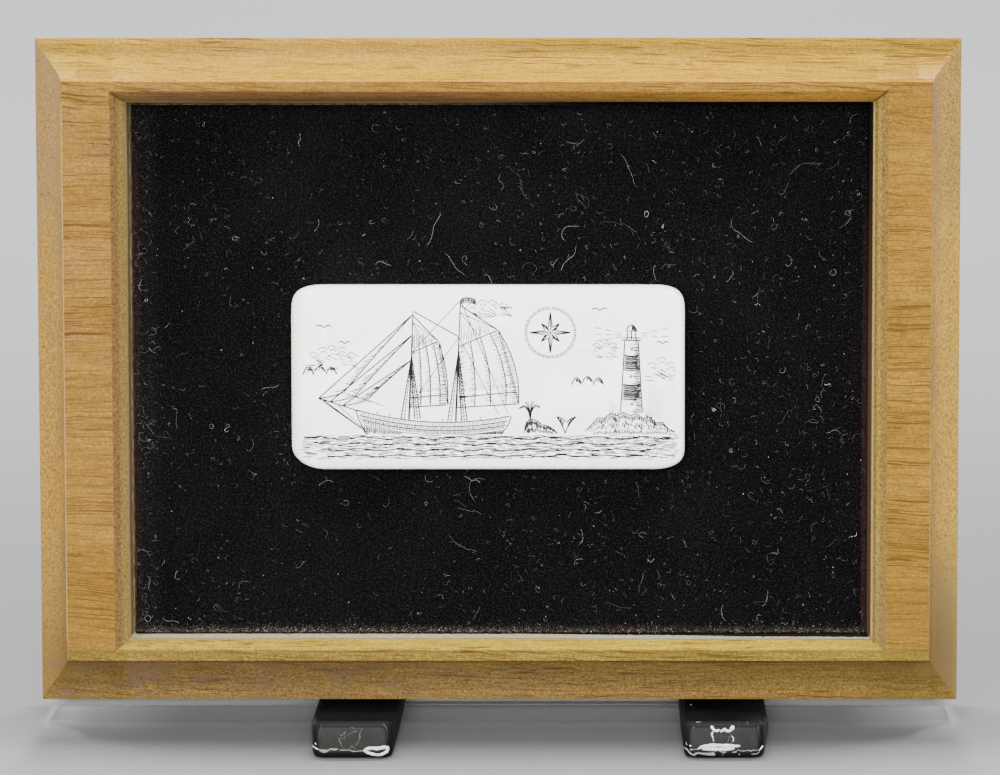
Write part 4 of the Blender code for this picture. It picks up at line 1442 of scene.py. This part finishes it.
# Dried, pale crusts on the two lips: lines of (x, z, radius) in millimetres
residue = {
    "white": (
        (
            (-24.55, 1.63, 0.17), (-24.19, 1.85, 0.29), (-23.62, 2.07, 0.34), (-22.91, 2.12, 0.34),
            (-22.19, 2, 0.3), (-21.48, 2.15, 0.33), (-20.77, 2.3, 0.33), (-20.19, 2.18, 0.33),
            (-20.02, 1.88, 0.27), (-20.37, 1.41, 0.31), (-20.91, 1.03, 0.31), (-21.62, 0.81, 0.31),
            (-22.19, 0.81, 0.29), (-22.91, 0.96, 0.29), (-23.62, 1.18, 0.29), (-24.17, 1.41, 0.26),
            (-24.51, 1.58, 0.17),
        ),
        (
            (-34.37, 2.86, 0.1), (-34.19, 2.67, 0.16), (-33.84, 2.33, 0.13), (-33.41, 2, 0.16),
            (-32.98, 1.85, 0.11),
        ),
        (
            (40.42, 6.23, 0.29), (40.57, 5.94, 0.26), (40.82, 5.52, 0.21), (41.39, 5.45, 0.24),
            (41.77, 5.64, 0.23),
        ),
        (
            (42.18, 5.42, 0.23), (42.75, 5.76, 0.26), (43.11, 5.49, 0.27), (43.61, 5.39, 0.24),
            (43.99, 5.6, 0.26), (44.25, 6.16, 0.37), (44.34, 5.74, 0.27),
        ),
        (
            (40.54, 5.19, 0.19), (40.39, 4.75, 0.19), (40.54, 4.23, 0.14), (40.71, 3.71, 0.11),
            (40.78, 3.34, 0.1),
        ),
        ((44.18, 4.45, 0.1), (44.44, 4.01, 0.11), (44.44, 3.63, 0.11), (44.32, 3.34, 0.09)),
        (
            (37.82, 1.93, 0.11), (38.39, 2.3, 0.26), (39.11, 2.52, 0.34), (39.97, 2.59, 0.36),
            (40.82, 2.67, 0.36), (41.68, 2.64, 0.31), (42.54, 2.59, 0.33), (43.39, 2.59, 0.36),
            (44.25, 2.52, 0.33), (45.11, 2.52, 0.26), (45.75, 2.56, 0.16),
        ),
        (
            (38.82, 1.93, 0.23), (39.68, 1.93, 0.31), (40.54, 1.9, 0.34), (41.39, 1.9, 0.34),
            (42.25, 1.85, 0.34), (43.11, 1.85, 0.34), (43.82, 1.96, 0.33), (44.54, 2.12, 0.24),
        ),
        ((36.37, 2.56, 0.19), (36.61, 2.62, 0.13)),
        ((49.25, 1.7, 0.1), (49.54, 2, 0.16), (49.82, 2.37, 0.21), (49.97, 2.55, 0.13)),
    ),
    "pale": (
        (
            (-32.74, 1.7, 0.21), (-32.19, 1.52, 0.34), (-31.55, 1.52, 0.29), (-31.19, 1.7, 0.17),
            (-30.84, 1.93, 0.13), (-30.34, 1.85, 0.19), (-29.84, 1.85, 0.2), (-29.41, 1.97, 0.13),
        ),
        (
            (-29.05, 1.78, 0.1), (-28.69, 1.7, 0.13), (-28.19, 1.67, 0.11), (-27.91, 1.73, 0.11),
            (-27.34, 1.7, 0.1), (-26.62, 1.48, 0.11), (-25.91, 1.48, 0.11), (-25.19, 1.58, 0.11),
            (-24.62, 1.58, 0.14),
        ),
        (
            (34.79, 2.97, 0.11), (34.94, 2.59, 0.13), (35.25, 2.22, 0.13), (35.75, 1.93, 0.17),
            (35.97, 1.67, 0.16), (36.32, 1.18, 0.19), (36.61, 0.96, 0.16), (37.18, 0.78, 0.24),
            (37.68, 1.15, 0.17), (38.39, 1.08, 0.19), (39.11, 1, 0.21), (39.82, 0.93, 0.27),
            (40.39, 0.93, 0.3), (40.89, 0.93, 0.33),
        ),
        ((36.47, 1.82, 0.21), (36.82, 1.85, 0.1), (37.39, 1.85, 0.09), (37.82, 1.88, 0.11)),
        ((43.99, 4.82, 0.07), (44.08, 4.64, 0.07)),
        ((43.82, 4.53, 0.04), (43.61, 3.93, 0.04), (43.48, 3.49, 0.06), (43.37, 3.14, 0.07)),
        (
            (44.32, 1.33, 0.14), (44.89, 1.32, 0.13), (45.04, 1.66, 0.09), (45.39, 1.73, 0.09),
            (45.82, 1.58, 0.09), (46.39, 1.52, 0.1), (47.11, 1.7, 0.1), (47.82, 1.52, 0.14),
            (48.11, 1.7, 0.09), (48.68, 1.7, 0.09), (49.25, 1.7, 0.1),
        ),
        (
            (49.39, 1.52, 0.1), (49.11, 1.18, 0.1), (48.68, 0.96, 0.11), (48.25, 0.96, 0.1),
            (47.82, 0.96, 0.11),
        ),
        ((45.51, 0.89, 0.13), (45.68, 0.86, 0.16)),
        ((42.47, 0.93, 0.09), (42.39, 0.59, 0.07)),
        ((41.99, 1.38, 0.09), (42.68, 1.26, 0.16), (43.14, 1.38, 0.13)),
        ((36.47, 10.5, 0.16), (36.71, 10.62, 0.13)),
        ((37.54, 7.11, 0.1), (37.97, 7.11, 0.11), (38.32, 7.2, 0.1)),
    ),
    "dim": (
        (
            (-27.34, 1.82, 0.09), (-27.02, 2.33, 0.09), (-26.77, 2.56, 0.1), (-26.48, 2.18, 0.09),
            (-26.27, 1.85, 0.07),
        ),
        (
            (-28.65, 2.42, 0.1), (-28.77, 2.82, 0.1), (-28.91, 3.19, 0.11), (-29.12, 3.49, 0.13),
            (-29.12, 3.86, 0.11), (-28.91, 4.08, 0.09), (-28.45, 3.9, 0.07),
        ),
        (
            (-28.91, 4.6, 0.11), (-28.48, 4.64, 0.09), (-28.12, 5.05, 0.13), (-27.88, 5.3, 0.14),
            (-28.12, 4.67, 0.07), (-28.08, 4.08, 0.09), (-28.45, 3.78, 0.07),
        ),
        (
            (-26.08, 2.56, 0.1), (-25.84, 2.89, 0.09), (-25.55, 3.34, 0.1), (-25.39, 3.78, 0.11),
            (-25.27, 4.23, 0.21), (-25.37, 4.67, 0.11), (-25.19, 5.12, 0.11), (-25.05, 5.42, 0.09),
            (-24.84, 5.79, 0.1), (-24.67, 6.09, 0.07),
        ),
        ((-27.12, 6.34, 0.07), (-26.84, 6.16, 0.06), (-26.48, 5.94, 0.09), (-26.12, 5.86, 0.07)),
        ((-28.48, 2.27, 0.07), (-28.27, 2, 0.1), (-28.02, 1.93, 0.11)),
        (
            (-27.62, 4.64, 0.07), (-27.19, 4.9, 0.07), (-26.62, 5.19, 0.1), (-26.05, 5.37, 0.1),
            (-25.65, 5.43, 0.09),
        ),
        (
            (-20.94, 7.05, 0.07), (-20.77, 6.61, 0.09), (-20.48, 6.28, 0.09), (-20.24, 5.86, 0.07),
            (-20.09, 5.27, 0.06), (-20.05, 4.38, 0.04), (-20.05, 3.49, 0.04),
        ),
        ((-32.48, 6.61, 0.04), (-32.65, 5.57, 0.04), (-32.91, 4.67, 0.04), (-33.05, 3.93, 0.04)),
        ((36.99, 6.23, 0.11), (37.02, 5.86, 0.09)),
        ((47.04, 7.05, 0.13), (47.08, 6.87, 0.09)),
        ((45.42, 7.13, 0.1), (45.54, 7.1, 0.07)),
        ((47.97, 6.83, 0.07), (48.05, 6.73, 0.07)),
        ((49.01, 6.38, 0.09), (49.17, 5.57, 0.07), (49.21, 4.67, 0.06), (49.54, 3.93, 0.06)),
        ((42.18, 4.67, 0.04), (42.18, 3.78, 0.04)),
    ),
}
residueTones = {
    "white": rgba(0.62, 0.62, 0.60),
    "pale": rgba(0.20, 0.205, 0.185),
    "dim": rgba(0.075, 0.077, 0.066),
}


def standMaterial():
    fixed = {"Specular IOR Level": 0.06}
    material, start, shader = newMaterial("black moulded plastic", fixed)
    place = worldPlace(start)
    x, y, z = place.parts()
    normal = start.node("ShaderNodeNewGeometry", out=1).parts()
    smear = place.grain(0.35, 4.0, 0.6)
    pitted = place.grain(5.0, 2.0, 0.6)
    # The lips' front faces are painted lighter grey and their outward flanks light grey: painted
    # light; each front face stays black along its foot
    frontLit = normal[1].rise(-0.80, -0.97)
    face = frontLit * y.rise(-33.6, -34.4) * z.rise(1.0, 1.7)
    face = face * (0.72 + 0.35 * smear.rise(0.3, 0.7) + 0.16 * (pitted - 0.5))
    outwardLit = (normal[0] * (x - 8.0) * 0.03).rise(0.20, 0.65)
    flank = outwardLit * y.rise(-16.0, -18.0) * y.rise(-34.0, -32.0)
    colour = start.mix(face.limited(), stand["black"], stand["face"])
    feed(colour.over(flank, stand["flank"]), shader, "Base Color")
    feed(0.5 + 0.2 * smear + face * 0.2, shader, "Roughness")
    feed(bump(pitted + smear, 0.15, 0.00005), shader, "Normal")
    return material


def lumps(draw, line):  # closer points along a line, uneven in size and place
    points = []
    for (x, z, radius), (nextX, nextZ, nextRadius) in zip(line, line[1:]):
        count = max(1, round(math.hypot(nextX - x, nextZ - z) / stand["lumpStep"]))
        for step in range(count):
            share = step / count
            size = (radius + (nextRadius - radius) * share) * draw.uniform(0.8, 1.15)
            points.append(
                (
                    x + (nextX - x) * share + draw.gauss(0, 0.02),
                    z + (nextZ - z) * share + draw.gauss(0, 0.02),
                    max(size, stand["lumpLeast"]),
                )
            )
    return points


def makeResidue(draw, item):
    corners = [vert.co for vert in item.data.vertices]
    tree = BVHTree.FromPolygons(corners, [list(p.vertices) for p in item.data.polygons])
    eye = Vector(camera["place"])
    for tone, lines in residue.items():
        bm = bmesh.new()
        for line in lines:
            for x, z, radius in lumps(draw, line):
                target = Vector((x * mm, stand["tipY"], z * mm))
                found, normal = tree.ray_cast(eye, target - eye)[:2]
                if found is None:
                    found, normal = tree.find_nearest(target)[:2]
                turn = normal.to_track_quat("Z", "Y").to_matrix().to_4x4()
                middle = Matrix.Translation(found + normal * radius * 0.15 * mm)
                flat = Matrix.Diagonal((1.0, 1.0, 0.6, 1.0))
                bmesh.ops.create_icosphere(
                    bm, subdivisions=2, radius=radius * mm, matrix=middle @ turn @ flat
                )
        crust = meshPiece("stand_residue_" + tone, bm)
        joined = crust.modifiers.new("joined", "REMESH")
        joined.mode = "VOXEL"
        joined.voxel_size = stand["lumpCell"]
        eased = crust.modifiers.new("eased", "SMOOTH")
        eased.factor = 0.5
        eased.iterations = 2
        applyAll(crust)
        smooth(crust, 60)
        words = crust.name.replace("_", " ")
        finishPiece(crust, plainMaterial(words, residueTones[tone], 0.6), "black_plastic")


def makeStand():
    item = copyNode("black_stand", "display_stand")
    smooth(item, 35)
    finishPiece(item, standMaterial(), "black_plastic", "display_stand")
    makeResidue(random.Random(23), item)


makeStand()


# Floor, backdrop and lights

stageSizes = {
    "half": 1.8,
    "backY": 1.15,
    "height": 1.9,
    "bendRadius": 0.95,
    "bendSteps": 32,
    "colour": rgba(0.098, 0.098, 0.101),
    "worldColour": rgba(0.9, 0.93, 1.0),
    "worldStrength": 0.12,
}
# Place, aim, width and height, power
lamps = {
    "overhead": ((0.0, 0.23, 0.95), (0.0, 0.1, 0.0), (0.8, 0.16), 70.0),
    "upper front": ((0.0, -0.3, 0.95), (0.0, 0.0, 0.0), (0.8, 0.3), 13.0),
    "front": ((-0.12, -1.1, 0.37), (0.0, 0.0, 0.06), (1.2, 0.5), 33.0),
    "left": ((-0.9, -0.25, 0.35), (0.0, 0.0, 0.06), (0.6, 0.6), 7.0),
    "right": ((0.9, -0.25, 0.35), (0.0, 0.0, 0.06), (0.6, 0.6), 7.0),
}


def floorMaterial():
    material, start, shader = newMaterial("pale backdrop", {"Roughness": 0.9})
    place = worldPlace(start)
    x, y, z = place.parts()
    weave = place.grain(2.2, 2.0, 0.6)
    diagonal = x * 11.3 + y * 4.3
    twill = diagonal.math("SINE", diagonal)
    near = y.rise(70.0, -10.0) * (0.35 + 0.65 * y.rise(-14.0, -26.0))
    plain = x.rise(-80.0, 10.0) * 0.8 + 0.2 * y.rise(-45.0, -25.0)
    cloth = 0.985 + 0.16 * (weave - 0.5) + twill * (0.36 - 0.20 * plain) * near
    shade = 0.94 - 0.33 * y.rise(-40.0, -5.0) + 0.50 * y.rise(70.0, 420.0) + 0.19 * z.rise(0.0, 60.0)

    # Softens the shadow under the board and the light that comes in behind it
    end = x.absolute()
    aside = (x - 8.0).absolute()
    inner = aside.rise(38.0, 34.0)
    flank = aside.rise(80.0, 55.0) * (1.0 - inner)
    corner = (x - 3.0).absolute().rise(62.0, 88.0) * end.rise(94.0, 86.0)
    leak = y.rise(-0.65, -0.10)
    leak = leak + (y.rise(-3.5, 1.5) * 0.28 + y.rise(2.5, 3.3) * 0.72 - leak) * inner
    under = 0.93 - 0.35 * y.rise(-28.0, -21.5)
    under = under + 1.45 * y.rise(-16.5, -7.5) + 0.9 * y.rise(-12.0, -2.0)
    under = under * (1.0 + 1.20 * corner * y.rise(-26.0, -14.0))
    under = under * (1.0 + (0.42 - 0.16 * inner) * y.rise(-4.0, -1.4) * y.rise(-0.2, -0.9))
    under = under * (1.0 - 0.94 * leak) * (1.0 - 0.5 * y.rise(2.0, 2.8))
    under = under * (1.0 + 0.85 * inner * y.rise(-1.2, 1.6) * y.rise(3.0, 2.2))
    under = under * (1.0 - 0.24 * flank * y.rise(-0.6, -0.1))
    around = 1.0 + (0.40 - 0.12 * x.rise(-50.0, 50.0)) * y.rise(-1.0, -5.0) * y.rise(-45.0, -26.0)
    within = end.rise(91.0, 85.5) * y.rise(15.0, 7.0)
    tone = cloth * shade * (around + (under - around) * within)

    # Evens out the light at the board's two ends
    handed = x.rise(0.0, 60.0)
    dim = (end + handed * 12.0).rise(79.0, 85.0)
    dim = dim * (1.0 + 0.5 * (end - 87.6).absolute().rise(1.3, 0.4))
    dim = dim * end.rise(89.0, 88.2) * (y - handed * 0.9).rise(-1.0, -3.0) * y.rise(-17.0, -11.0)
    ridge = (end - 89.3).absolute().rise(1.4, 0.6) * y.rise(-12.0, -2.0) * y.rise(0.5, -0.5)
    tone = tone * (1.0 + 0.19 * dim - 0.30 * ridge)
    colour = start.vector(*(tone * part for part in stageSizes["colour"][:3]))
    feed(colour, shader, "Base Color")
    return material


def makeStage():
    bpy.ops.object.select_all(action="DESELECT")
    bpy.ops.mesh.primitive_plane_add(size=1.0, location=(0.0, 0.0, 0.0))
    item = bpy.context.active_object
    item.name = item.data.name = "backdrop"
    bm = bmesh.new()
    bm.from_mesh(item.data)
    for vert in bm.verts:
        vert.co.x *= 2 * stageSizes["half"]
        vert.co.y = stageSizes["backY"] if vert.co.y > 0 else -stageSizes["half"]
    back = next(e for e in bm.edges if all(v.co.y > 0 for v in e.verts))
    raised = bmesh.ops.extrude_edge_only(bm, edges=[back])["geom"]
    for vert in raised:
        if isinstance(vert, bmesh.types.BMVert):
            vert.co.z = stageSizes["height"]
    bmesh.ops.bevel(
        bm,
        geom=[back],
        offset=stageSizes["bendRadius"],
        segments=stageSizes["bendSteps"],
        profile=0.5,
        affect="EDGES",
    )
    bmesh.ops.recalc_face_normals(bm, faces=bm.faces)
    if bm.faces[:][0].normal.z < 0:
        bmesh.ops.reverse_faces(bm, faces=bm.faces)
    bm.to_mesh(item.data)
    bm.free()
    item.data.materials.append(floorMaterial())
    smooth(item, 60)
    print("stage finished")


def addLight(name, place, aim, size, power):
    data = bpy.data.lights.new(name, "AREA")
    data.shape = "RECTANGLE"
    data.size, data.size_y = size
    data.energy = power
    item = bpy.data.objects.new(name, data)
    item.location = place
    way = Vector(aim) - Vector(place)
    item.rotation_euler = way.to_track_quat("-Z", "Y").to_euler()
    bpy.context.scene.collection.objects.link(item)


def makeLights():
    for name, setting in lamps.items():
        addLight(name, *setting)
    world = bpy.data.worlds.new("soft room")
    bpy.context.scene.world = world
    world.use_nodes = True
    background = world.node_tree.nodes["Background"]
    background.inputs["Color"].default_value = stageSizes["worldColour"]
    background.inputs["Strength"].default_value = stageSizes["worldStrength"]
    print("lights placed")


makeStage()
makeLights()
